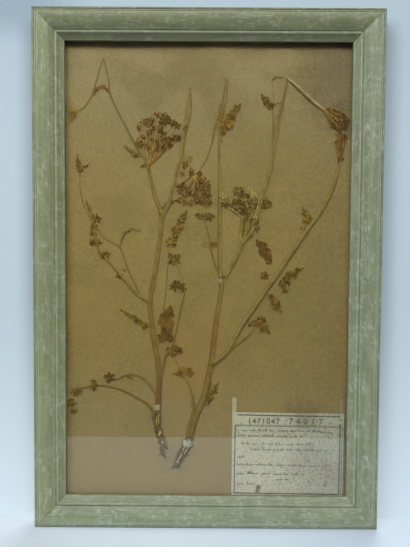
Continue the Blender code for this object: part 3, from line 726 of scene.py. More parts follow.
def make_label():
    shape = bmesh.new()
    bmesh.ops.create_grid(shape, x_segments=34, y_segments=26, size=0.5)
    wide, high = LABEL_RIGHT - LABEL_LEFT, LABEL_TOP - LABEL_BOTTOM
    for vert in shape.verts:
        vert.co = label_point(vert.co.x * wide + LABEL_MID.x, vert.co.y * high + LABEL_MID.y, CARD_TOP)
    bmesh.ops.solidify(shape, geom=shape.faces[:], thickness=CARD_THICK)
    card = label_paper("label_card_paper", (0.52, 0.50, 0.34), CARD_SPOTS)
    piece("curled_label", shape, card, ("label_card",), 60)


def printed_rule(shape, start, end, thick):
    """A printed line on the label from start to end, laid as a thin strip in short lengths."""
    made = bmesh.ops.create_grid(shape, x_segments=30, y_segments=1, size=0.5)["verts"]
    start, end = Vector(start), Vector(end)
    beside = Vector((start.y - end.y, end.x - start.x)).normalized() * thick
    for vert in made:
        at = start.lerp(end, vert.co.x + 0.5) + beside * vert.co.y
        vert.co = label_point(at.x, at.y, CARD_TOP + INK_LIFT)


def make_rules():
    """The form that is printed on the label: a heading band over a ruled box."""
    shape = bmesh.new()
    left, right, low = LABEL_LEFT + 2.8, LABEL_RIGHT - 3.6, LABEL_BOTTOM + 2.9
    heading, body = LABEL_TOP - 2.6, LABEL_TOP - 13.4
    rules = (
        ((left + 2.5, heading), (right, heading - 0.4), 1.25), ((left, body), (right, body), 0.75),
        ((left, body + 1.1), (right, body + 1.1), 0.35), ((left, body), (left, low), 1.1),
        ((right, body + 3), (right, low), 1.35), ((right + 2.1, body), (right + 2.1, low), 0.6),
        ((left, low), (right, low), 1.0),
    )
    for start, end, thick in rules:
        printed_rule(shape, start, end, thick)
    bmesh.ops.solidify(shape, geom=shape.faces[:], thickness=0.03)
    piece("label_rules", shape, plain_ink("printed_ink", (0.060, 0.062, 0.050)))


def print_numbers(name, text, x, y, size, spacing, ink):
    """Plain numerals in the heading band, made a mesh before they are laid on the card."""
    curve = bpy.data.curves.new(name, "FONT")
    curve.body = text
    curve.size = size
    curve.space_character = spacing
    curve.extrude = 0.012
    curve.offset = 0.2
    holder = bpy.data.objects.new(name, curve)
    bpy.context.scene.collection.objects.link(holder)
    bpy.context.view_layer.update()
    mesh = bpy.data.meshes.new_from_object(holder)
    bpy.data.objects.remove(holder, do_unlink=True)
    shape = bmesh.new()
    shape.from_mesh(mesh)
    bpy.data.meshes.remove(mesh)
    bmesh.ops.remove_doubles(shape, verts=shape.verts, dist=1e-4)
    for vert in shape.verts:
        vert.co = label_point(x + vert.co.x, y + vert.co.y, CARD_TOP + INK_LIFT + vert.co.z)
    piece(name, shape, ink)


def pen_word(shape, x, y, long, chance):
    """One scribbled word: a running stroke of loops and a few tall ones."""
    rows, at = [], x
    while at < x + long:
        tall = chance.choice((0.9, 1.2, 1.0, 1.5, 2.6, 0.8))
        for lean, rise in ((0.0, 0.0), (0.45, tall), (0.75, tall * 0.55), (0.55, 0.05)):
            spot_on_card = label_point(at + lean, y + rise + chance.uniform(-0.1, 0.1), CARD_TOP + 0.01)
            rows.append((*spot_on_card, chance.uniform(0.55, 0.95)))
        at += chance.uniform(1.0, 1.7)
    sweep(shape, rows, sides=4, flatness=0.1, step=0.6)


def make_writing():
    """Faded pen strokes in lines, with no letters in them."""
    chance = random.Random(31)
    shape = drawing()
    for start, y, end in PEN_LINES:
        x = start
        while x < end:
            long = min(chance.uniform(4, 13), max(end - x, 2))
            pen_word(shape, x, y + chance.uniform(-0.3, 0.3), long, chance)
            x += long + chance.uniform(1.6, 3.2)
    piece("pen_strokes", shape, plain_ink("brown_ink", (0.105, 0.095, 0.066)))


def strip(name, centre, across, tall, turn, crown, material, replaced, cuts):
    """A paper strip glued at its ends: crown(u, v) is its height over the sheet, with u and v from -1 to 1."""
    shape = bmesh.new()
    bmesh.ops.create_grid(shape, x_segments=cuts[0], y_segments=cuts[1], size=1.0)
    spin = Matrix.Rotation(turn, 2)
    for vert in shape.verts:
        u, v = vert.co.x, vert.co.y
        flat = spin @ Vector((u * across / 2, v * tall / 2)) + Vector(centre)
        vert.co = (flat.x, flat.y, SHEET_TOP + STRIP_LIFT + crown(u, v))
    bmesh.ops.solidify(shape, geom=shape.faces[:], thickness=STRIP_THICK)
    piece(name, shape, material, (replaced,), 50)


def make_strips():
    """The slips down the label's sides, and the straps that hold the stalks."""
    pale = label_paper("slip_paper", (0.47, 0.41, 0.25), ())
    worn = label_paper("worn_slip_paper", (0.36, 0.29, 0.18), ())
    for side, x, top, wide, paper in (("left", 27.7, -124.0, 4.2, pale), ("right", 133.2, -125.0, 3.4, worn)):
        tall = top - LABEL_BOTTOM
        strip(f"label_hinge_{side}", (x, (top + LABEL_BOTTOM) / 2), wide, tall, 0,
              lambda u, v: 0.08 * noise.noise(Vector((u, v * 9, x))) + 0.1, paper, f"label_slip_{side}", (4, 60))
    for name, centre, across, tall, turn, lift, tone in STRAPS:
        paper = label_paper(f"{name}_strap_paper", tone, ())
        strip(f"{name}_strap", centre, across, tall, turn,
              lambda u, v, lift=lift: lift * max(1 - abs(u) ** 3.5, 0.0), paper, f"strap_{name}", (20, 6))


# ---- stalks: routes are (x, y, width), as on the CAD part ----

UNDER, OVER = "under", "over"
LEFT_STALKS = {
    "left_main_stem": (UNDER, (
        (-47.9, -151.4, 3.8), (-47.6, -136, 4.2), (-47, -120, 3.9), (-46.4, -104, 3.8), (-47.8, -88, 3.7),
        (-51, -72, 3.6), (-54.6, -46, 3.4), (-55.6, -32, 3.3), (-53.6, -14, 3.2), (-49.4, 9, 3.2),
        (-45.9, 36, 3.1), (-44.5, 57, 3.4))),
    "left_upper_stem": (UNDER, (
        (-45.4, 59.0, 2.8), (-47.4, 63, 2.8), (-50.8, 72, 2.7), (-53.3, 80, 2.4), (-56.9, 96, 2.2),
        (-57.6, 100.4, 2.2))),
    "left_far_stem": (OVER, (
        (-57.0, 98.5, 1.6), (-62, 110, 1.5), (-68.6, 119, 1.4), (-79, 139, 1.3), (-90, 160, 1.2),
        (-95.2, 173, 1.2), (-96.4, 186, 1.1), (-101, 205, 0.9))),
    "left_far_tip": (UNDER, (
        (-101.2, 204.4, 0.9), (-104.4, 196, 1.0), (-107.8, 184, 1.0), (-112, 171, 1.0), (-118.6, 159.4, 1.0),
        (-126, 154.6, 0.9))),
    "left_inner_stem": (OVER, (
        (-43.6, 54.5, 2.6), (-41, 60, 2.6), (-37.6, 67, 2.4), (-34.4, 80, 2.3), (-30, 99, 2.2),
        (-26, 114, 2.1), (-24.7, 132, 2.0), (-21.6, 153, 1.8), (-18, 178, 1.2))),
    "left_inner_tip": (UNDER, (
        (-17.8, 177, 1.2), (-16.9, 160, 1.4), (-19, 144, 1.5), (-22.6, 129, 1.4), (-24, 117, 1.2),
        (-22.4, 111, 1.0))),
    "left_leaf_stalk_outer": (OVER, (
        (-55.8, -30.4, 2.0), (-60, -28, 1.9), (-69, -22, 1.8), (-79.6, -10, 1.7), (-90, 2, 1.5),
        (-104, 18, 1.3), (-108.8, 28, 1.2), (-110.2, 42, 1.1), (-112, 52, 1.0), (-116.5, 65, 0.8))),
    "left_leaf_stalk_long": (UNDER, (
        (-66.8, -22.4, 1.4), (-69.6, -14.4, 1.4), (-75.4, -3, 1.4), (-80.6, 11, 1.3), (-85.6, 23.3, 1.3),
        (-93, 28, 1.2), (-101, 33, 1.2), (-111, 47, 1.1), (-119.4, 61, 1.0), (-124, 80, 0.9), (-124.4, 101, 0.8))),
    "left_leaf_stalk_arch": (OVER, (
        (-85.4, 22.6, 1.0), (-84.5, 29, 1.0), (-81, 36.6, 0.9), (-74, 41.4, 0.8), (-65.6, 39, 0.7))),
    "left_basal_stalk_upper": (OVER, (
        (-47.8, -124.6, 1.6), (-50.4, -120, 1.5), (-55.6, -112.6, 1.4), (-62, -105.8, 1.4), (-70, -101.8, 1.3),
        (-78, -101.7, 1.2), (-91, -107.6, 1.0))),
    "left_basal_stalk_lower": (OVER, (
        (-49.0, -152, 2.2), (-51.8, -145.6, 2.2), (-53.2, -138, 1.9), (-58, -131, 1.7), (-69, -124.2, 1.5),
        (-80, -118.4, 1.4), (-91, -114.6, 1.3), (-104, -112.6, 1.2), (-120, -114.4, 1.1), (-129, -119, 0.9))),
    "left_leaf_petiole_lower": (OVER, (
        (-46.4, -106, 1.6), (-43.4, -98, 1.5), (-41.6, -88, 1.4), (-39, -80.4, 1.3), (-34.6, -74.4, 1.2))),
    "left_leaf_petiole_upper": (OVER, (
        (-33.8, -72.6, 1.2), (-31.4, -64, 1.2), (-29.8, -56, 1.1), (-27.6, -46, 1.1), (-24.4, -32, 1.0),
        (-22.2, -22, 0.9))),
}
RIGHT_STALKS = {
    "right_main_stem": (UNDER, (
        (-16.0, -162.8, 5.0), (-12.6, -150.6, 4.8), (-9.2, -139.6, 4.7), (-2.6, -124, 4.6), (0.2, -112, 4.4),
        (2.4, -101, 4.2), (4.4, -90, 4.6))),
    "right_mid_stem": (UNDER, (
        (4.6, -89.0, 3.9), (5.6, -81, 3.6), (6.7, -68, 3.4), (8.9, -48, 3.3), (12.0, -29, 3.1),
        (14.0, -15.6, 3.0), (13.0, -4.4, 3.4))),
    "right_centre_stem": (UNDER, (
        (12.8, -3.4, 3.2), (12.0, 18, 2.9), (11.6, 60, 2.7), (11.6, 91, 2.5), (11.8, 111, 2.4),
        (11.6, 122, 2.3), (11.4, 131, 2.1))),
    "right_centre_tip": (UNDER, (
        (11.4, 129.5, 2.0), (11.6, 142, 1.5), (12.4, 154, 1.3), (15.0, 172, 1.2), (17.2, 186, 0.9))),
    "right_drooping_stalk": (UNDER, (
        (4.2, 127.2, 1.1), (2.6, 122, 1.1), (0, 113, 1.0), (-3.3, 106, 1.0), (-7.6, 99.4, 1.0))),
    "right_inner_branch": (OVER, (
        (16.9, -4.6, 2.6), (22, 3.3, 2.6), (26.7, 12, 2.6), (31, 22, 2.6), (35.6, 30, 2.6), (42, 38, 2.5),
        (47, 52, 2.5), (53.6, 77, 2.5), (57.4, 89, 2.4), (61.6, 105, 2.4), (65.4, 131, 2.2), (67.2, 149, 2.1))),
    "right_inner_tip": (OVER, (
        (67.4, 149.0, 1.9), (69.4, 156, 1.8), (72, 166, 1.6), (74.4, 178, 1.4), (76, 187, 1.2))),
    "right_folded_stem": (UNDER, (
        (76.0, 186.6, 1.6), (85.6, 178.8, 2.2), (91.4, 173.4, 2.3), (102, 164, 2.3), (111, 157.6, 2.1))),
    "right_outer_branch": (OVER, (
        (5.0, -91.2, 3.2), (9.4, -87.6, 3.1), (15, -83.6, 3.0), (21.4, -76.4, 2.9), (27, -66, 2.9),
        (35.6, -51, 2.8), (49, -31, 2.8), (64.4, -8, 2.8), (82, 18, 2.7), (98, 42.6, 2.6), (111, 61, 2.4),
        (121, 81, 2.2), (125.4, 97, 2.0), (126.7, 108, 1.8))),
    "right_outer_branchlet": (UNDER, (
        (19.6, -79.6, 2.0), (25, -74.8, 2.0), (33, -69.4, 1.8), (41, -62, 1.6), (48, -54.4, 1.3))),
    "right_node_stalk": (OVER, (
        (12.2, -3.2, 1.5), (9, 3.6, 1.4), (5.6, 13.6, 1.3), (3.3, 22, 1.2), (2.2, 32, 1.1), (0, 41, 1.0),
        (-2.4, 49, 0.9))),
    "right_basal_stalk": (OVER, (
        (-18.6, -163.2, 2.2), (-16.7, -151, 2.2), (-14, -142, 2.0), (-12.8, -134, 1.8), (-14.4, -121, 1.6),
        (-16.7, -113, 1.4), (-20, -107, 1.2), (-25, -101, 1.0))),
    "right_stub_stem": (UNDER, ((0.4, -129.5, 1.6), (2.6, -120, 1.5), (5.0, -108, 1.2))),
}

# Thin stalks that the CAD part leaves out, by the piece that they are drawn into.
THREADS = {
    "left_leaf_petiole_upper": (
        ((-46, -52, 0.9), (-43, -38, 0.9), (-40.5, -20, 0.8), (-39, 0, 0.8), (-38, 14, 0.7), (-36.5, 25, 0.6)),
        ((-22.2, -22, 0.8), (-23.2, -12, 0.8), (-24.4, -5.6, 0.7), (-29, 3.3, 0.7), (-32, 9, 0.6)),
    ),
    "right_inner_branch": (
        ((62.2, 118, 1.0), (62.6, 130, 1.6), (62.8, 142, 1.5), (62.4, 152, 1.1), (62.2, 158, 0.8)),
        ((62.4, 152, 0.6), (62.6, 168, 0.5), (62, 178, 0.4), (61.4, 185, 0.4)),
        ((34.0, 31, 2.2), (32.9, 38, 2.8), (33.0, 46, 2.8), (33.6, 57, 2.2)),
        ((35.6, 32, 2.4), (38.0, 40, 3.4), (39.2, 47, 3.2), (38.4, 54, 2.2)),
    ),
    "right_centre_tip": (
        ((13.4, 131, 1.3), (13.8, 144, 1.3), (15.2, 156, 1.3), (17.6, 172, 1.2), (18.6, 185, 0.9)),
        ((12.0, 162, 1.5), (10.4, 154, 1.8), (8.0, 146, 1.9), (5.8, 138, 1.9), (4.6, 130, 1.5), (4.2, 126, 1.1)),
    ),
    "right_basal_stalk": (((-22, -103, 0.6), (-27.8, -93, 0.6), (-32, -85.6, 0.5)),),
}


def stalk_rows(layer, route):
    """Rows for a stalk that lies on the sheet, or that starts on its parent's top and comes down towards it."""
    rows, travelled = [], 0.0
    for number, (x, y, width) in enumerate(route):
        if number:
            travelled += math.dist(route[number - 1][:2], (x, y))
        above = OVER_REST + OVER_STEP * math.exp(-travelled / 15) if layer == OVER else 0.0
        rows.append((x, y, level(x, y, above), width * STALK_SWELL))
    return rows


def edge_rows(layer, route, across, wide):
    """Rows for a rib that stands along one side of a stalk, across it from its middle, in half widths."""
    rows = stalk_rows(layer, route)
    shifted = []
    for number, (x, y, height, width) in enumerate(rows):
        before, after = rows[max(number - 1, 0)], rows[min(number + 1, len(rows) - 1)]
        heading = Vector((after[0] - before[0], after[1] - before[1])).normalized()
        off = across * width / 2
        shifted.append((x - heading.y * off, y + heading.x * off, height + EDGE_RISE * width, wide * width))
    return shifted


REDDISH = ("left_main_stem", "right_mid_stem")

# Pale and dark ribs along a stalk: painted highlights along its edges, and one painted shade under the folded stem.
# How far to the left of its middle, width (both by the stalk's own), tone.
HIGHLIGHT_AND_SHADE_RIBS = {
    "right_folded_stem": ((0.5, 0.42, 1.0), (-0.9, 0.45, 0.0)),
    "right_outer_branch": ((0.5, 0.34, 1.0),),
    "right_inner_branch": ((-0.6, 0.3, 0.9), (0.6, 0.3, 0.9)),
    "left_inner_stem": ((0.6, 0.32, 0.9), (-0.6, 0.3, 0.9)),
    "right_centre_stem": ((-0.6, 0.35, 0.9),),
    "left_main_stem": ((0.6, 0.25, 0.75), (-0.6, 0.25, 0.7)),
    "right_mid_stem": ((-0.5, 0.3, 0.8),),
}


def make_stalks():
    """Every stalk's ribbed skin, with the thin stalks and the ribs of painted highlight and painted shade that go
    with it.
    """
    tones = random.Random(7)
    for name, (layer, route) in {**LEFT_STALKS, **RIGHT_STALKS}.items():
        shape = drawing()
        ribs = 5 if route[0][2] > 1.5 else 0
        sweep(shape, stalk_rows(layer, route), sides=20 if ribs else 10, tone=tones.uniform(0.35, 0.6), ribs=ribs,
              lumps=0.05, seed=tones.uniform(0, 9))
        for thread in THREADS.get(name, ()):
            sweep(shape, stalk_rows(UNDER, thread), sides=8, tone=0.45, seed=tones.uniform(0, 9))
        for across, wide, tone in HIGHLIGHT_AND_SHADE_RIBS.get(name, ()):
            sweep(shape, edge_rows(layer, route, across, wide), sides=8, tone=tone, seed=tones.uniform(0, 9))
        skin = RED_STEM if name in REDDISH else PALE_STEM if name == "right_folded_stem" else STEM
        piece(f"pressed_{name}", shape, skin, (name,), 50)


# Swollen joints and sheaths where stalks branch: x, y, heading in degrees, width, length.
JOINTS = (
    (-45.0, 57.5, 100, 4.4, 6), (4.6, -90, 80, 5.4, 7), (13.2, -4.2, 95, 4.8, 5), (-57.4, 99.5, 105, 2.9, 5),
    (-55.6, -31, 95, 3.9, 5), (67, 149, 75, 2.7, 4), (12.2, 128, 90, 2.6, 5), (-47.9, -151, 90, 4.5, 5),
    (-85.5, 23, 110, 1.7, 3), (21, -78, 45, 3.4, 4), (126.6, 108.5, 88, 2.2, 3),
)


def make_joints():
    shape = drawing()
    for x, y, heading, width, long in JOINTS:
        along = Vector((math.cos(math.radians(heading)), math.sin(math.radians(heading)))) * long / 2
        rows = []
        for part, swell in ((-1, 0.72), (-0.6, 0.95), (0, 1.05), (0.5, 1.0), (1, 0.74)):
            at = Vector((x, y)) + along * part
            rows.append((at.x, at.y, level(x, y), width * swell))
        sweep(shape, rows, sides=14, flatness=0.52, step=1.0, tone=0.42, lumps=0.16, seed=x)
    piece("stem_joints", shape, STEM, (), 50)


# ---- leaves ----


# Half the width of a leaflet from its stalk to its tip, in and out with its teeth, by its length.
LEAFLET_WIDTHS = (0.06, 0.28, 0.24, 0.40, 0.32, 0.38, 0.26, 0.26, 0.06)
FROND_MORE = 1.1  # how many more pairs of leaflets a frond has than its table says
FROND_RIB = 0.8
BROAD = 0.7  # a frond at least this full is one broad blade, of nearly one tone
LOBE_LONG = 4  # leaflets longer than this have side lobes
TUFT_MORE = 2.6
TUFT_REACH = 0.52
TUFT_HEIGHT = 0.1


def leaflet_pattern():
    """A lobed blade one long from (0, 0), its middle creased, with a little thickness."""
    shape = drawing()
    grain, edge = layers(shape)
    steps = len(LEAFLET_WIDTHS) - 1
    bmesh.ops.create_grid(shape, x_segments=steps, y_segments=2, size=0.5)
    for vert in shape.verts:
        part = vert.co.x + 0.5
        side = vert.co.y * 2
        station = round(part * steps)
        vert.co = (part - 0.06 * abs(side) * (station % 2), side * LEAFLET_WIDTHS[station], 0.05 * abs(side))
        vert[grain] = (side * 0.002, part * 0.006, 0.5)
        vert[edge] = (abs(side) * 0.9, 0, 0)
    bmesh.ops.solidify(shape, geom=shape.faces[:], thickness=0.03)
    mesh = bpy.data.meshes.new("leaflet_pattern")
    shape.to_mesh(mesh)
    shape.free()
    return mesh


def stamp(shape, pattern, matrix, tone, crinkle=0.0, seed=0.0):
    """A copy of pattern, laid through matrix, crumpled, and given its own tone."""
    grain = layers(shape)[0]
    count = len(shape.verts)
    shape.from_mesh(pattern)
    shape.verts.ensure_lookup_table()
    for vert in shape.verts[count:]:
        co = matrix @ vert.co
        if crinkle:
            co += crinkle * noise.noise_vector(Vector((co.x * 0.55, co.y * 0.55, seed)))
        vert.co = co
        vert[grain] = (vert[grain].x + seed, vert[grain].y, tone)


def leaflet(shape, x, y, heading, long, wide, height, tone, chance):
    """One leaflet of a leaf: it is tilted and rolled a little, as it dried."""
    matrix = Matrix.Translation((x, y, level(x, y, height)))
    matrix @= Matrix.Rotation(heading, 4, "Z")
    matrix @= Matrix.Rotation(chance.uniform(-0.35, 0.35), 4, "X")
    matrix @= Matrix.Diagonal((long, wide, long * 0.8, 1.0))
    stamp(shape, LEAFLET, matrix, tone, 0.35, chance.uniform(0, 50))


def frond(shape, route, width, pairs, chance, tone, fullness=0.55, height=0.15, fan=1.1):
    """A feathery leaf: pairs of lobed leaflets along a thin rib through route's (x, y) points."""
    rows = [(x, y, level(x, y, height), FROND_RIB) for x, y in route]
    sweep(shape, rows, sides=6, step=1.5, tone=tone)
    stations = smooth_rows(rows, 0.5)
    pairs = round(pairs * FROND_MORE)
    for number in range(pairs):
        part = (number + 0.6) / pairs
        here = stations[min(int(part * len(stations)), len(stations) - 2)]
        ahead = stations[min(int(part * len(stations)) + 1, len(stations) - 1)]
        along = math.atan2(ahead.y - here.y, ahead.x - here.x)
        size = width * (0.45 + 0.65 * math.sin(math.pi * min(0.12 + 0.9 * part, 1.0))) / 2
        for side in (-1, 1):
            long = size * chance.uniform(0.65, 1.30)
            turn = along + side * fan * (1.0 - 0.45 * part) * chance.uniform(0.8, 1.15)
            spread = 0.5 if fullness < BROAD else 0.15
            shade = min(max(tone + chance.uniform(-spread, spread), 0.0), 1.0)
            leaflet(shape, here.x, here.y, turn, long, long * fullness * chance.uniform(0.8, 1.2),
                    height + chance.uniform(0, 0.5), shade, chance)
            if long > LOBE_LONG:
                for share, lean in ((0.45, 0.8), (0.5, -0.8)):
                    at = Vector((here.x, here.y)) + Vector((math.cos(turn), math.sin(turn))) * long * share
                    leaflet(shape, at.x, at.y, turn + lean, long * 0.5, long * 0.5 * fullness,
                            height + chance.uniform(0.1, 0.6), shade, chance)
    last = stations[-1]
    along = math.atan2(last.y - stations[-4].y, last.x - stations[-4].x)
    leaflet(shape, last.x, last.y, along, width * 0.4, width * 0.4 * fullness, height + 0.1, tone, chance)


def tuft(shape, x, y, wide, high, count, chance, tone):
    """A crumpled leaf seen as a cluster: small lobes that overlap about a middle, with gaps between them."""
    count = round(count * TUFT_MORE)
    for number in range(count):
        angle = GOLDEN_TURN * number + chance.uniform(-0.4, 0.4)
        reach = TUFT_REACH * math.sqrt((number + 0.3) / count) * chance.uniform(0.75, 1.15)
        at_x = x + math.cos(angle) * wide * reach
        at_y = y + math.sin(angle) * high * reach
        long = (wide + high) / 2 * chance.uniform(0.24, 0.46)
        heading = angle + chance.uniform(-1.0, 1.0)
        foot_x, foot_y = at_x - math.cos(heading) * long / 2, at_y - math.sin(heading) * long / 2
        leaflet(shape, foot_x, foot_y, heading, long, long * chance.uniform(0.35, 0.75),
                TUFT_HEIGHT + chance.uniform(0, 0.9), tone + chance.uniform(-0.4, 0.55), chance)


# A frond is its route's points, width, pairs of leaflets and tone, and where it differs from the others its
# fullness, height and fan; a tuft is x, y, width, height, count of lobes and tone.
LEFT_LEAVES = {
    "folded_tip_leaf": (
        ("frond", ((-126, 154.6), (-131, 157), (-137, 157.6)), 6.5, 5, 0.95, 0.3),
        ("frond", ((-126, 154), (-132, 149), (-136, 142)), 8, 6, 0.9, 0.3),
        ("frond", ((-125, 155), (-127, 151), (-130, 148)), 5, 4, 0.9, 0.3),
        ("frond", ((-130, 156), (-136, 152)), 5, 4, 1.0, 0.3)),
    "arched_leaf": (
        ("frond", ((-110.6, 171), (-108.5, 175), (-103, 178), (-98.5, 176), (-95.8, 172)), 4.5, 10, 0.35, 1.0),
        ("tuft", -108, 175, 7, 4, 6, 0.45), ("tuft", -110, 171.5, 4, 4, 5, 0.4)),
    "bracts": (
        ("frond", ((-65, 110.5), (-72, 115), (-80, 121)), 6.5, 6, 0.3), ("tuft", -63, 102, 6, 4, 5, 0.35),
        ("tuft", -58, 107, 5, 6, 6, 0.35), ("tuft", -71, 112, 5, 4, 5, 0.2)),
    "fork_leaf": (("frond", ((-44.5, 61.5), (-39, 65), (-33, 68.5)), 6.5, 5, 0.15),),
    "inner_tip_leaves": (
        ("tuft", -22, 104, 6, 8, 8, 0.45), ("tuft", -18, 110, 6, 5, 6, 0.5), ("tuft", -24.4, 95, 6, 6, 6, 0.4),
        ("tuft", -16, 97, 6, 6, 6, 0.4)),
    "outer_leaf": (
        ("tuft", -85.6, -5.0, 7, 5, 7, 0.2), ("tuft", -81, 1, 4, 4, 5, 0.1), ("tuft", -101, 15.6, 11, 8, 10, 0.22),
        ("tuft", -109, 28, 12, 6, 10, 0.25), ("tuft", -111.5, 36.5, 8, 6, 8, 0.25),
        ("tuft", -110.5, 43.5, 8, 6, 8, 0.25),
        ("tuft", -108, 51, 8, 8, 9, 0.25), ("frond", ((-112.5, 53), (-115, 60), (-117.5, 67)), 5.5, 6, 0.25)),
    "long_stalk_leaf": (
        ("frond", ((-124.4, 95), (-124.6, 102), (-126.5, 111)), 8.5, 6, 0.35),
        ("frond", ((-124, 98), (-120, 101), (-116, 103.5)), 4, 4, 0.35)),
    "arch_stalk_leaf": (
        ("frond", ((-84.6, 30), (-81, 36.6), (-74, 41.4), (-65.6, 39.4)), 4.6, 9, 0.4),),
    "side_leaf": (
        ("frond", ((-57.4, -53), (-66, -50), (-75, -44), (-83, -39)), 7.0, 9, 0.45, 1.1, 0.15, 0.8),
        ("tuft", -60, -54, 8, 5, 8, 0.4),
        ("tuft", -70, -47.5, 6, 4, 5, 0.4), ("tuft", -78, -42, 5, 3.5, 5, 0.5)),
    "basal_leaves": (
        ("tuft", -96, -105, 11, 9, 12, 0.12), ("tuft", -74, -104.3, 7, 4, 5, 0.3),
        ("tuft", -111, -112.5, 6, 11, 10, 0.2),
        ("tuft", -128, -119, 10, 9, 11, 0.2), ("tuft", -133, -130, 8, 8, 9, 0.25),
        ("tuft", -131, -138, 8, 6, 8, 0.3)),
    "ovate_leaf": (
        ("frond", ((-39.4, -61.5), (-39.2, -50), (-36.8, -39)), 15.5, 10, 0.28, 0.9),),
    "lower_leaves": (
        ("tuft", -40, -65, 17, 8, 14, 0.15), ("tuft", -32.5, -77.5, 14, 11, 14, 0.2)),
    "petiole_leaves": (
        ("tuft", -30, -14, 15, 9, 14, 0.3), ("tuft", -24, -17, 8, 6, 6, 0.3), ("tuft", -32, 12, 12, 11, 15, 0.35)),
    "long_leaf": (
        ("frond", ((-37, 24.5), (-33, 33), (-28, 44), (-22.5, 55)), 13.5, 8, 0.4), ("tuft", -35, 26, 11, 5, 7, 0.35)),
}
RIGHT_LEAVES = {
    "sheath": (("frond", ((-12, -139), (-12.4, -131), (-12.6, -123)), 5.0, 7, 0.2),),
    "spread_leaf": (("frond", ((-12.5, -101.5), (-21, -98.5), (-30.5, -100.5)), 9.5, 9, 0.5, 0.75),
     ("tuft", -20, -98.5, 9, 6, 9, 0.5),),
    "feathery_leaf": (
        ("frond", ((0.6, -130), (4.5, -121), (10.5, -111.5)), 8.5, 9, 0.42), ("tuft", 1.5, -131, 5, 4, 5, 0.3)),
    "branchlet_leaves": (
        ("frond", ((47, -53), (53, -54), (60, -59)), 9, 6, 0.3), ("tuft", 53, -47, 10, 9, 11, 0.4),
        ("tuft", 46, -50.5, 9, 7, 8, 0.35), ("tuft", 57, -55, 9, 7, 8, 0.45),
        ("tuft", 39, -47.5, 4, 4, 5, 0.2), ("tuft", 42, -51, 5, 3, 5, 0.2)),
    "node_leaves": (
        ("tuft", -7, 54, 9, 7, 9, 0.22), ("tuft", 1, 53.5, 10, 8, 10, 0.22), ("tuft", 7.8, 27, 8, 8, 9, 0.25),
        ("frond", ((3.4, 26.5), (0.5, 28.4), (-3, 28), (-4.5, 25.5), (-2, 23.6), (1.5, 24.2)), 0.7, 3, 0.5)),
    "centre_tip_leaves": (
        ("frond", ((12.6, 136), (17, 144), (23, 152), (29.5, 160)), 9.0, 8, 0.35, 0.7),
        ("tuft", 18.5, 145, 13, 14, 16, 0.4),
        ("tuft", 27.5, 158, 7, 8, 8, 0.35),
        ("tuft", 14.5, 134.5, 7, 6, 8, 0.3), ("frond", ((11, 141), (12.6, 150), (13, 158)), 6, 5, 0.3)),
    "inner_tip_leaves_right": (
        ("frond", ((62.2, 157), (58, 162), (52.5, 169.5)), 8.0, 8, 0.2, 0.7), ("tuft", 57, 163.5, 8, 8, 9, 0.25),
        ("frond", ((63, 160), (66, 163), (70, 163.6)), 4, 3, 0.3),
        ("frond", ((61, 184.6), (64.5, 188), (69, 187.2), (71, 188.6)), 3.2, 5, 0.3)),
    "middle_umbel_leaf": (
        ("tuft", 56, 67, 12, 11, 14, 0.35), ("tuft", 49, 42, 6, 5, 6, 0.25), ("tuft", 41, 36, 7, 4, 6, 0.35)),
    "ovate_leaf_right": (("frond", ((61.4, 7.5), (57.5, 18), (50.2, 28.5)), 11.5, 9, 0.15, 0.8),),
    "small_branch_leaves": (
        ("tuft", 56, -3.5, 8, 8, 9, 0.25), ("frond", ((99, 47), (96.5, 53), (93, 61)), 8.5, 6, 0.55, 0.6),
        ("tuft", 96.5, 49.5, 8, 7, 8, 0.5),
        ("tuft", 92, 42.5, 6, 4, 6, 0.35), ("tuft", 97, 39.5, 5, 4, 5, 0.4)),
    "loose_leaf": (
        ("frond", ((69.5, -14), (78, -7), (84, -1), (91, 3)), 10.5, 9, 0.3), ("tuft", 82, -3, 9, 8, 9, 0.3),
        ("tuft", 88, 2, 7, 7, 7, 0.35), ("tuft", 76, -17.5, 7, 7, 7, 0.2)),
    "loose_leaf_lower": (
        ("frond", ((60.5, -22), (66, -29), (71.5, -38)), 10, 8, 0.4), ("tuft", 67, -31, 9, 9, 10, 0.4),
        ("tuft", 62.5, -24, 7, 6, 7, 0.35)),
}
LEAF_STANDS_FOR = {
    "ovate_leaf": "left_leaf_ovate", "side_leaf": "left_leaf_side", "ovate_leaf_right": "right_leaf_ovate",
}


def make_leaves():
    for name, parts in {**LEFT_LEAVES, **RIGHT_LEAVES}.items():
        chance = random.Random(name)
        shape = drawing()
        for kind, *values in parts:
            if kind == "frond":
                route, width, pairs, tone, *rest = values
                frond(shape, route, width, pairs, chance, tone, *rest)
            else:
                *size, tone = values
                tuft(shape, *size, chance, tone)
        replaced = (LEAF_STANDS_FOR[name],) if name in LEAF_STANDS_FOR else ()
        piece(name, shape, LEAF, replaced, 60)


# ---- umbels ----


FRUIT_TONES = (-0.3, -0.15, 0.0, 0.1, 0.4)
HEAD_FILL = 1.9  # how many florets an umbellet of radius 1 has
BOLD_RAY_LIFT = 1.1  # the bold pale rays lie over the heads


def fruit_pattern():
    """A small dried fruit, ribbed by its few faces."""
    shape = drawing()
    bmesh.ops.create_icosphere(shape, subdivisions=1, radius=0.5)
    edge = layers(shape)[1]
    for vert in shape.verts:
        vert[edge] = (0.3, 0, 0)
    mesh = bpy.data.meshes.new("fruit_pattern")
    shape.to_mesh(mesh)
    shape.free()
    return mesh


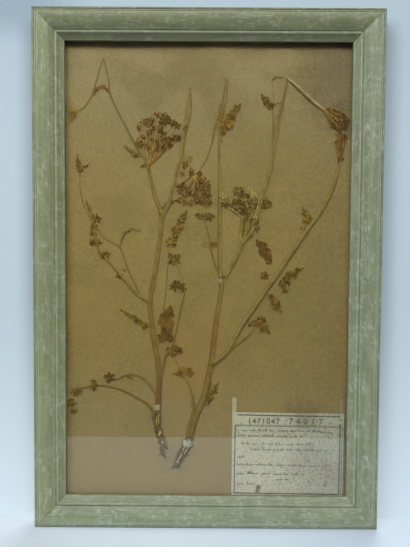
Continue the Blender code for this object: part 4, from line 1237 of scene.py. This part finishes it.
def floret(shape, x, y, height, size, tone, petals, chance):
    """A dried flower head's end: two or three fruits, and shrivelled petals on some."""
    for _ in range(chance.choice((2, 3))):
        off = Vector((chance.uniform(-0.5, 0.5), chance.uniform(-0.5, 0.5), chance.uniform(-0.2, 0.2))) * size
        matrix = Matrix.Translation(Vector((x, y, height)) + off)
        matrix @= Matrix.Rotation(chance.uniform(0, math.pi), 4, "Z")
        long, wide = size * chance.uniform(0.8, 1.3), size * chance.uniform(0.5, 0.8)
        matrix @= Matrix.Diagonal((long, wide, size * 0.45, 1.0))
        stamp(shape, FRUIT, matrix, tone + chance.choice(FRUIT_TONES), 0.25, chance.uniform(0, 50))
    for _ in range(petals):
        leaflet(shape, x, y, chance.uniform(0, 2 * math.pi), size * chance.uniform(0.9, 1.4),
                size * chance.uniform(0.9, 1.5), height - SHEET_TOP, tone + chance.uniform(0.0, 0.3), chance)


def ray(shape, points, wide, tone, above=0.8):
    """A thin stalk of an umbel, through (x, y) points, thinner towards its end."""
    rows = []
    for number, (x, y) in enumerate(points):
        part = number / (len(points) - 1)
        rows.append((x, y, level(x, y, above * (0.4 + 0.6 * part)), wide * (1 - 0.35 * part)))
    sweep(shape, rows, sides=8, flatness=0.6, step=2.5, tone=tone, seed=points[-1][0])


def umbellet(shape, x, y, radius, tone, chance, size, petals, above):
    """One small umbel of an umbel: raylets from its middle, each with fruits at the end."""
    count = max(4, round(HEAD_FILL * radius ** 1.5))
    for number in range(count):
        turn = GOLDEN_TURN * number + chance.uniform(-0.5, 0.5)
        long = radius * math.sqrt((number + 0.6) / count) * chance.uniform(0.8, 1.15)
        tip_x, tip_y = x + math.cos(turn) * long, y + math.sin(turn) * long
        height = above + chance.uniform(0.0, 0.9)
        if number % 2:
            rows = [(x, y, level(x, y, above), 0.5), (tip_x, tip_y, level(tip_x, tip_y, height), 0.4)]
            sweep(shape, rows, sides=5, flatness=0.8, step=3, tone=tone + 0.35)
        floret(shape, tip_x, tip_y, level(tip_x, tip_y, height + 0.25), size, tone, petals, chance)


def umbel(name, hub, heads, rays, finish, replaced, size=1.7, petals=0, above=0.4, thin_tone=0.6, lighter=0.0,
          thin_reach=60.0):
    """An umbel: heads are (x, y, radius, tone) of its umbellets, most on a thin ray if they are within thin_reach.

    Rays are the bold pale ones: (width, tone, points).
    """
    chance = random.Random(name)
    shape = drawing()
    for x, y, radius, tone in heads:
        mid = ((hub[0] + x) / 2 + chance.uniform(-1.5, 1.5), (hub[1] + y) / 2 + chance.uniform(-1.5, 1.5))
        if chance.random() < 0.6 and math.dist(hub, (x, y)) < thin_reach:
            ray(shape, (hub, mid, (x, y)), 0.75, thin_tone, above)
        umbellet(shape, x, y, radius, tone + lighter, chance, size, petals, above)
    for wide, tone, points in rays:
        ray(shape, points, wide, tone, above + BOLD_RAY_LIFT)
    piece(name, shape, finish, replaced, 70)


def make_umbels():
    umbel("left_umbel", (-57.6, 101.2), (
        (-49.5, 152, 2.2, 0.2), (-42, 148.5, 4.6, 0.05), (-44.5, 144, 3.6, 0.1), (-38.5, 146, 3.4, 0.0),
        (-33.5, 143.5, 3, 0.1), (-29.5, 141.3, 3, 0.05), (-21.8, 138.6, 2.6, 0.4), (-46.5, 138.5, 3.2, 0.1),
        (-43, 134, 3, 0.15), (-43, 128.7, 3.8, 0.0), (-38, 129, 3.2, 0.1), (-33.3, 129.5, 3.6, 0.12),
        (-27.6, 129, 3, 0.1), (-37, 122.4, 3, 0.0), (-44, 121.4, 3.4, 0.1), (-49.6, 118.8, 2.4, 0.25),
        (-49.4, 126, 2.4, 0.2), (-53.4, 138, 2.8, 0.1), (-57, 133.4, 3, 0.3), (-57, 143.6, 4.4, 0.35),
        (-54.5, 147, 2.6, 0.3), (-63.2, 144.4, 2.8, 0.4), (-66.4, 139.4, 2.6, 0.4), (-62.4, 130.4, 3.2, 0.4),
        (-68.2, 125.6, 2.8, 0.3), (-65.4, 122.6, 2.8, 0.35), (-60.6, 123, 3.2, 0.3), (-57.4, 118.4, 2.4, 0.4),
        (-53.4, 127.2, 2.4, 0.45)),
        ((1.4, 0.8, ((-57.0, 103), (-54.2, 114.5), (-51.6, 125), (-50, 134), (-48.2, 142), (-49.6, 146))),
         (1.1, 0.9, ((-57.6, 103), (-59, 118), (-59.4, 130), (-60.6, 136), (-57, 137.8), (-54.4, 138.6))),
         (0.9, 0.8, ((-57, 103), (-50, 114), (-45.6, 121), (-44.6, 128))),
         (1.2, 0.6, ((-57, 102), (-55.2, 108), (-54.6, 116), (-56.4, 124)))),
        BROWN_HEAD, ("left_umbel_rays",), lighter=0.08)
    umbel("right_drooping_umbel", (-12.0, 94.6), (
        (-23.5, 83.6, 3.2, 0.05), (-28, 83.4, 2.6, 0.2), (-27, 78.4, 3, 0.25), (-20, 79.6, 3.2, 0.2),
        (-16.6, 76.4, 2.6, 0.15), (-10.6, 87, 2.2, 0.1), (-6.8, 88.4, 3.2, 0.1), (-2.4, 88, 3.4, 0.3),
        (0, 83.6, 3.2, 0.3), (-5.2, 82.6, 3.4, 0.3), (-11.6, 80, 3, 0.05), (-5, 78.4, 3.4, 0.1), (0.6, 78, 3, 0.25),
        (-12, 74.4, 3, 0.0), (0, 73.4, 3.2, 0.1), (-5.4, 73.6, 2.8, 0.35), (-10, 69.4, 3.6, 0.1),
        (-5.4, 67.8, 3.2, 0.15),
        (0.8, 68, 3.2, 0.2), (-14.2, 68.4, 2.8, 0.4), (-2, 65.2, 3, 0.3), (-17, 66, 2.4, 0.45), (-27, 69, 3, 0.4),
        (-22, 68.4, 2.6, 0.5), (-22.6, 75, 2.2, 0.4), (-15.6, 95, 2.4, 0.1), (-8.2, 95.4, 2.6, 0.1),
        (-9, 91.6, 2, 0.2)),
        ((1.1, 0.95, ((-12, 94), (-16, 90.4), (-20, 86), (-23, 82))),
         (1.0, 0.9, ((-12, 94), (-16.6, 87.6), (-19, 82))),
         (1.3, 1.0, ((-12, 94), (-12.6, 87), (-13.6, 81), (-14.6, 75.6))),
         (0.9, 0.9, ((-12, 94), (-10.2, 87), (-9.6, 82))),
         (0.9, 0.8, ((-12, 94), (-20, 90), (-28, 84))), (0.8, 0.8, ((-11.6, 94), (-6, 88), (-1, 80), (0, 74))),
         (1.0, 0.95, ((-12.6, 95.4), (-15.6, 103), (-19, 109), (-23.4, 113.4))),
         (1.2, 0.9, ((-4.2, 73.6), (-5.6, 71), (-5.4, 68.4))), (1.1, 0.8, ((-7.4, 99.6), (-10, 96.8), (-12, 94.6)))),
        BROWN_HEAD, ("right_drooping_umbel_rays",), lighter=0.12)
    umbel("right_middle_umbel", (35.5, 52.0), (
        (14, 73, 2.2, 0.95), (18.6, 72, 3.4, 1.0), (21, 69.8, 2.2, 0.9), (13, 66.6, 2.6, 0.15), (17, 65, 2.4, 0.2),
        (28, 68.4, 4, 0.2), (32.4, 66, 3.2, 0.0), (33, 75.4, 3.6, 0.0), (28, 75, 3.2, 0.45), (26.6, 80, 2.6, 0.4),
        (38, 74.4, 2.6, 0.1), (34.4, 70.8, 3.2, 0.45), (38.6, 67.4, 3.2, 0.2), (34, 62, 3.2, 0.1), (29.6, 62, 3, 0.4),
        (25.6, 63, 2.6, 0.3), (42, 67, 3.4, 0.45), (44.6, 63, 2.6, 0.1), (47, 66.4, 2.4, 0.15), (34.4, 58, 2.8, 0.05),
        (38.6, 59.6, 2.6, 0.25), (40, 56, 2.4, 0.3), (44, 58.4, 2.4, 0.6), (37, 52.4, 2.6, 0.05),
        (41.4, 52.4, 1.8, 0.95),
        (48, 53.4, 1.6, 0.9), (45.6, 49.4, 2.8, 0.05), (33, 81.4, 1.8, 0.9), (39.4, 79.6, 2.6, 1.0),
        (38, 77.4, 1.8, 0.8),
        (44, 76.4, 2.6, 0.9), (42.6, 71.6, 2.4, 0.7), (47.6, 73.6, 2, 0.75), (21.6, 66, 2.2, 0.3), (51, 73, 1.8, 0.6),
        (35, 71, 1.2, 1.3), (38, 65.4, 1.2, 1.3)),
        ((1.4, 0.0, ((34.8, 36), (35.6, 42), (36.2, 50))), (1.2, 0.1, ((41.2, 38), (41.6, 43), (42.6, 50))),
         (1.5, 0.9, ((41, 42), (43.4, 48), (46.2, 56), (48.6, 64), (50, 72))),
         (1.4, 0.85, ((34, 53), (30.6, 55.6), (25.4, 59.4), (20.6, 63.4))),
         (1.3, 0.95, ((33.0, 31), (31.9, 35), (32.3, 39.5))),
         (1.2, 0.7, ((34.2, 31), (36.4, 37), (36.6, 46), (36, 55))),
         (1.0, 0.6, ((35, 32), (39, 40), (41.6, 50), (42, 58)))),
        GREY_HEAD, ("right_middle_umbel_rays",), petals=1, thin_tone=0.4, thin_reach=17.0)
    # Its darkest head by the right stile, at (130.4, 144.4), has a dark tone as painted shade of the frame.
    umbel("right_folded_umbel", (110.5, 157.8), (
        (125, 147.6, 3.2, 0.1), (130.4, 144.4, 3.8, 0.0), (133, 148, 2.6, 0.05), (121, 142, 2.8, 0.15),
        (125.4, 139.4, 3, 0.05), (127, 151.4, 2.4, 0.15), (118.4, 146, 2.4, 0.3), (130, 139.8, 2.4, 0.15),
        (121.6, 150, 2.2, 0.3), (134, 143, 2, 0.1), (116, 157.6, 1.8, 0.1), (120.5, 156.6, 2.2, 0.05),
        (125, 155, 2.2, 0.1),
        (130, 151.4, 2.4, 0.0)),
        ((1.2, 0.75, ((110, 158), (117, 156), (123, 153.4), (129, 151))),
         (1.1, 0.9, ((110, 158), (116, 154), (121, 149.6), (125, 146))),
         (1.1, 0.5, ((110, 158), (114, 151), (118, 144.6), (122, 140))),
         (1.0, 0.8, ((110, 158), (117, 150), (122, 144), (125, 140))),
         (1.0, 0.3, ((110, 158), (118, 153), (124, 149), (130, 144)))),
        BROWN_HEAD, ("right_folded_umbel_rays",), size=1.5)
    # Its dark head at (132.2, 131.4), by the right stile, has a dark tone as painted shade.
    umbel("right_outer_umbel", (126.9, 109.0), (
        (125, 134, 2.2, 0.2), (127.6, 136, 2.2, 0.1), (132.2, 131.4, 2.6, 0.05), (130.6, 126.6, 2, 0.2),
        (124, 127.6, 1.8, 0.4), (127.2, 128, 1.8, 0.1), (130, 110.2, 1.5, 0.2), (126, 109.4, 1.6, 0.15)),
        ((2.0, 0.3, ((126.9, 110), (126.4, 120), (126, 134))),
         (2.0, 0.15, ((127.2, 110), (128.6, 120), (129.4, 134))),
         (1.1, 0.8, ((126.8, 109), (124.8, 118), (124.2, 128), (124.6, 136))),
         (1.1, 0.55, ((126.8, 109), (126.6, 120), (126.2, 132))),
         (1.1, 0.75, ((127, 109), (129.4, 118), (130, 128), (129, 137))),
         (1.0, 0.3, ((127, 109), (128, 120), (127.8, 134))),
         (0.9, 0.4, ((127, 109), (131, 120), (132.4, 130)))),
        BROWN_HEAD, ("right_outer_umbel_rays",), size=1.4, above=0.9)


# ---- roots ----

ROOTS = {
    "left_root": (
        (-47.8, -152.6, 3.9), (-46.0, -158.6, 4.4), (-43.6, -166, 5.0), (-42.2, -173, 4.6), (-43.2, -182.5, 2.2)),
    "right_root": (
        (-17.0, -164.6, 6.8), (-18.6, -171, 9.0), (-22.6, -179, 9.0), (-26.8, -187, 7.0), (-30, -194.5, 3.4)),
}
ROOT_STRANDS = 11
PALE_STRANDS = (4, 7)
ROOT_HAIRS = 46

# Shreds of bark on the left stem, between its strap and its root: how far to the left, width, tone.
NECK_TOP = -138.0
NECK_SHREDS = (
    (0.70, 0.26, 0.0), (0.30, 0.22, 1.0), (-0.05, 0.26, 0.05), (-0.40, 0.20, 0.9), (-0.75, 0.26, 0.0),
)
NECK_LIFT = Vector((0, 0, 0.55, 0))
ROOTLETS = {"left_root": ((-43, -181, 0.8), (-41, -184.5, 0.7), (-36.5, -186.5, 0.5)), "right_root": None}


def make_roots():
    """Woody tap roots, wrapped in strands that lie along them, with fine hairs at their sides."""
    for name, route in ROOTS.items():
        chance = random.Random(name)
        shape = drawing()
        core = [(x, y, level(x, y), width * 0.8) for x, y, width in route]
        sweep(shape, core, sides=18, flatness=0.24, step=1.0, tone=0.15, lumps=0.4, seed=3.0)
        for number in range(ROOT_STRANDS):
            side = -0.5 + number / (ROOT_STRANDS - 1) + chance.uniform(-0.06, 0.06)
            sway = chance.uniform(0.3, 0.9)
            rows = []
            for x, y, height, width in smooth_rows(core, 3.0):
                shift = side * width * 1.1 + sway * math.sin(y * 0.5 + number)
                top = width * 0.22 * math.sqrt(max(1 - (1.9 * side) ** 2, 0.0))
                rows.append((x + shift, y + chance.uniform(-0.6, 0.6), height + top, chance.uniform(1.0, 1.9)))
            tone = 1.0 if number in PALE_STRANDS else (0.0, 0.45, 0.1)[number % 3]
            rows = rows[:chance.randrange(4, 1 + len(rows))]
            sweep(shape, rows, sides=6, flatness=0.4, step=1.2, tone=tone, lumps=0.5, seed=side * 9)
        for _ in range(ROOT_HAIRS):
            x, y, _, width = chance.choice(smooth_rows(core, 1.5))
            away = chance.choice((-1, 1))
            long = chance.uniform(1.0, 3.6)
            rows = [(x + away * width * 0.35, y, level(x, y, 0.6), 0.95),
                    (x + away * (width * 0.5 + long * 0.5), y - chance.uniform(0, 1.5), level(x, y, 0.4), 0.8),
                    (x + away * (width * 0.5 + long), y - chance.uniform(0.5, 3.5), level(x, y), 0.5)]
            sweep(shape, rows, sides=5, step=1.5, tone=chance.choice((0.0, 0.05, 0.1, 0.3)))
        if ROOTLETS[name]:
            sweep(shape, stalk_rows(UNDER, ROOTLETS[name]), sides=6, tone=0.5)
            for across, wide, tone in NECK_SHREDS:
                rows = smooth_rows(edge_rows(*LEFT_STALKS["left_main_stem"], across, wide), 2.0)
                rows = [row + NECK_LIFT for row in rows if row.y < NECK_TOP - 3 * chance.random()]
                sweep(shape, rows, sides=6, step=1.0, tone=tone, lumps=0.8, seed=across)
        piece(f"gnarled_{name}", shape, ROOT, (name,), 50)


# ---- camera, light and stage ----


def make_camera():
    data = bpy.data.cameras.new("camera")
    data.lens = 40
    data.sensor_width = 36
    data.clip_start = 0.01
    camera = bpy.data.objects.new("camera", data)
    camera.location = (-0.0010, -0.60185, -0.2089)
    camera.rotation_euler = (math.radians(87.38), math.radians(-0.37), math.radians(0.13))
    bpy.context.scene.collection.objects.link(camera)
    bpy.context.scene.camera = camera


def area_light(name, location, target, size, power, colour):
    data = bpy.data.lights.new(name, "AREA")
    data.shape = "RECTANGLE"
    data.size, data.size_y = size
    data.energy = power
    data.color = colour
    light = bpy.data.objects.new(name, data)
    light.location = location
    light.rotation_euler = (Vector(target) - Vector(location)).to_track_quat("-Z", "Y").to_euler()
    bpy.context.scene.collection.objects.link(light)


def make_lights():
    middle = (0, 0, SIGHT_MID_Z)
    area_light("high_soft_box", (-0.20, -1.10, 0.66), middle, (1.5, 0.42), 13.6, (0.97, 0.985, 1.0))
    area_light("back_soft_box", (0.4, 1.3, 0.6), middle, (1.2, 1.0), 14, (1.0, 1.0, 1.0))
    world = bpy.data.worlds.new("studio")
    bpy.context.scene.world = world
    world.use_nodes = True
    tree = world.node_tree
    felt = tree.nodes["Background"]
    felt.inputs["Color"].default_value = (0.90, 0.95, 1.0, 1.0)
    felt.inputs["Strength"].default_value = 0.20
    seen = add(tree, "Background", {"Color": (0.62, 0.74, 0.84, 1.0), "Strength": 1.0})
    mirrored = add(tree, "Background", {"Color": (0.90, 0.95, 1.0, 1.0), "Strength": 0.03})
    light = add(tree, "LightPath")
    gloss = add(tree, "MixShader", {0: light.outputs["Is Glossy Ray"], 1: felt.outputs[0], 2: mirrored.outputs[0]})
    mixed = add(tree, "MixShader", {0: light.outputs["Is Camera Ray"], 1: gloss.outputs[0], 2: seen.outputs[0]})
    join(tree, tree.nodes["World Output"].inputs["Surface"], mixed.outputs[0])
    settings = bpy.context.scene.view_settings
    settings.view_transform = "Standard"
    settings.look = "None"


def stage_sheet(name, corners, material):
    shape = bmesh.new()
    shape.faces.new([shape.verts.new(corner) for corner in corners])
    mesh = bpy.data.meshes.new(name)
    shape.to_mesh(mesh)
    shape.free()
    mesh.materials.append(material)
    obj = bpy.data.objects.new(name, mesh)
    bpy.context.scene.collection.objects.link(obj)
    return obj


TABLE_FRONT = -0.281
TABLE_REACH = 1.6
WALL_REACH = 0.9


def make_stage():
    """A pale table that ends in front of the frame, and a pale wall that only shows from its front. Both glow a
    little as painted light; the table is painted darker to the right, and the wall is painted paler low down, darker
    up high and in its top left, with a painted shadow beside the frame.
    """
    low = cad_bounds[0][2] - 0.0004
    table, tree, sockets = new_material("pale_table", 0.6)
    side = add(tree, "SeparateXYZ", {0: add(tree, "TexCoord").outputs["Object"]}).outputs[0]
    # Painted shade: the table is darker to the right.
    colour = blend(tree, ramp(tree, side, -0.05, 0.20), (0.75, 0.86, 0.94), (0.635, 0.745, 0.86))
    join(tree, sockets["Base Color"], colour)
    # Painted light: the table glows a little, though it is no lamp.
    join(tree, sockets["Emission Color"], colour)
    sockets["Emission Strength"].default_value = 0.21
    ends = ((-TABLE_REACH, TABLE_FRONT), (TABLE_REACH, TABLE_FRONT), (TABLE_REACH, TABLE_REACH),
            (-TABLE_REACH, TABLE_REACH))
    stage_sheet("table", [(*end, low) for end in ends], table)
    paint, tree, sockets = new_material("wall_with_painted_shade", 0.8)
    side, _, up = add(tree, "SeparateXYZ", {0: add(tree, "TexCoord").outputs["Object"]}).outputs
    # Painted light: the wall is paler low down, as if lit by the table below.
    colour = blend(tree, ramp(tree, up, -0.25, low), (0.56, 0.665, 0.73), (0.700, 0.785, 0.850))
    # Painted shade: the wall is darker up high.
    colour = blend(tree, ramp(tree, up, -0.15, 0.03), colour, (0.48, 0.59, 0.67))
    away = calc(tree, "ABSOLUTE", side, 0.0)
    # Painted shadow of the frame on the wall, down both its sides, fading out near the bottom.
    beside = calc(tree, "MULTIPLY", ramp(tree, away, 0.192, 0.172, 0.0, 0.42), ramp(tree, up, 0.016, 0.004))
    beside = calc(tree, "MULTIPLY", beside, ramp(tree, up, low, -0.22, 0.0, 1.0))
    colour = blend(tree, beside, colour, (0.20, 0.26, 0.29))
    # Painted shade in the wall's top left.
    corner = calc(tree, "MULTIPLY", ramp(tree, side, -0.10, -0.175), ramp(tree, up, -0.02, 0.02))
    colour = blend(tree, calc(tree, "MULTIPLY", corner, 0.5), colour, (0.20, 0.28, 0.36))
    join(tree, sockets["Base Color"], colour)
    # Painted light: the wall glows a little, though it is no lamp.
    join(tree, sockets["Emission Color"], colour)
    sockets["Emission Strength"].default_value = 0.22
    clear = add(tree, "BsdfTransparent")
    facing = add(tree, "NewGeometry")
    mixed = add(tree, "MixShader", {
        0: facing.outputs["Backfacing"], 1: tree.nodes["Principled BSDF"].outputs[0], 2: clear.outputs[0]})
    join(tree, tree.nodes["Material Output"].inputs["Surface"], mixed.outputs[0])
    at = cad_bounds[1][1] + 0.0006
    corners = ((-WALL_REACH, at, low), (WALL_REACH, at, low), (WALL_REACH, at, WALL_REACH),
               (-WALL_REACH, at, WALL_REACH))
    wall = stage_sheet("wall", corners, paint)
    wall.visible_diffuse = False
    wall.visible_glossy = False
    wall.visible_shadow = False
    wall.visible_transmission = False


LEAFLET = leaflet_pattern()
FRUIT = fruit_pattern()

# Each skin's dark, middle and pale tones, its roughness and how dark its rim is, which is partly painted shade.
STEM = dried_plant(
    "dried_stem_skin", (0.110, 0.066, 0.011), (0.205, 0.136, 0.026), (0.32, 0.230, 0.066), 0.65, 0.4)
RED_STEM = dried_plant(
    "reddish_stem_skin", (0.115, 0.060, 0.010), (0.225, 0.136, 0.024), (0.33, 0.225, 0.058), 0.65, 0.35,
    (0.155, 0.072, 0.028))
# The folded stem's skin, whose pale tone shows as the painted highlight along its upper side.
PALE_STEM = dried_plant(
    "pale_stem_skin", (0.075, 0.045, 0.010), (0.230, 0.158, 0.042), (0.48, 0.38, 0.17), 0.65, 0.3)
LEAF = dried_plant(
    "dried_leaf_skin", (0.088, 0.042, 0.004), (0.200, 0.114, 0.012), (0.31, 0.205, 0.042), 0.85, 0.1)
ROOT = dried_plant(
    "dried_root_bark", (0.040, 0.022, 0.003), (0.155, 0.095, 0.026), (0.56, 0.44, 0.20), 0.85, 0.3)
BROWN_HEAD = dried_plant(
    "brown_flower_head", (0.085, 0.037, 0.004), (0.215, 0.104, 0.008), (0.42, 0.28, 0.07), 0.85, 0.1)
GREY_HEAD = dried_plant(
    "grey_flower_head", (0.060, 0.029, 0.003), (0.205, 0.104, 0.010), (0.46, 0.34, 0.10), 0.85, 0.1)


def main():
    make_camera()
    make_lights()
    make_stage()
    make_moulding()
    make_sheet()
    make_label()
    make_rules()
    ink = plain_ink("heading_ink", (0.095, 0.098, 0.075))
    print_numbers("heading_numbers", "1471047", 40.6, -149.6, 7.4, 1.25, ink)
    print_numbers("heading_numbers_large", "74017", 81.0, -149.9, 8.4, 1.75, ink)
    make_writing()
    make_strips()
    make_stalks()
    make_joints()
    make_leaves()
    make_umbels()
    make_roots()
    dress("glass_pane", pane_glass())
    dress("backing_board", hardboard())
    hanger = steel("bright_hanger_steel", (0.60, 0.60, 0.58), 0.32, 0.35)
    for node in ("sawtooth_hanger", "hanger_brad_left", "hanger_brad_right"):
        dress(node, hanger)
    point = steel("blued_point_steel", (0.36, 0.37, 0.39), 0.38, 0.5)
    for number in range(1, 9):
        dress(f"framers_point_{number}", point)


main()
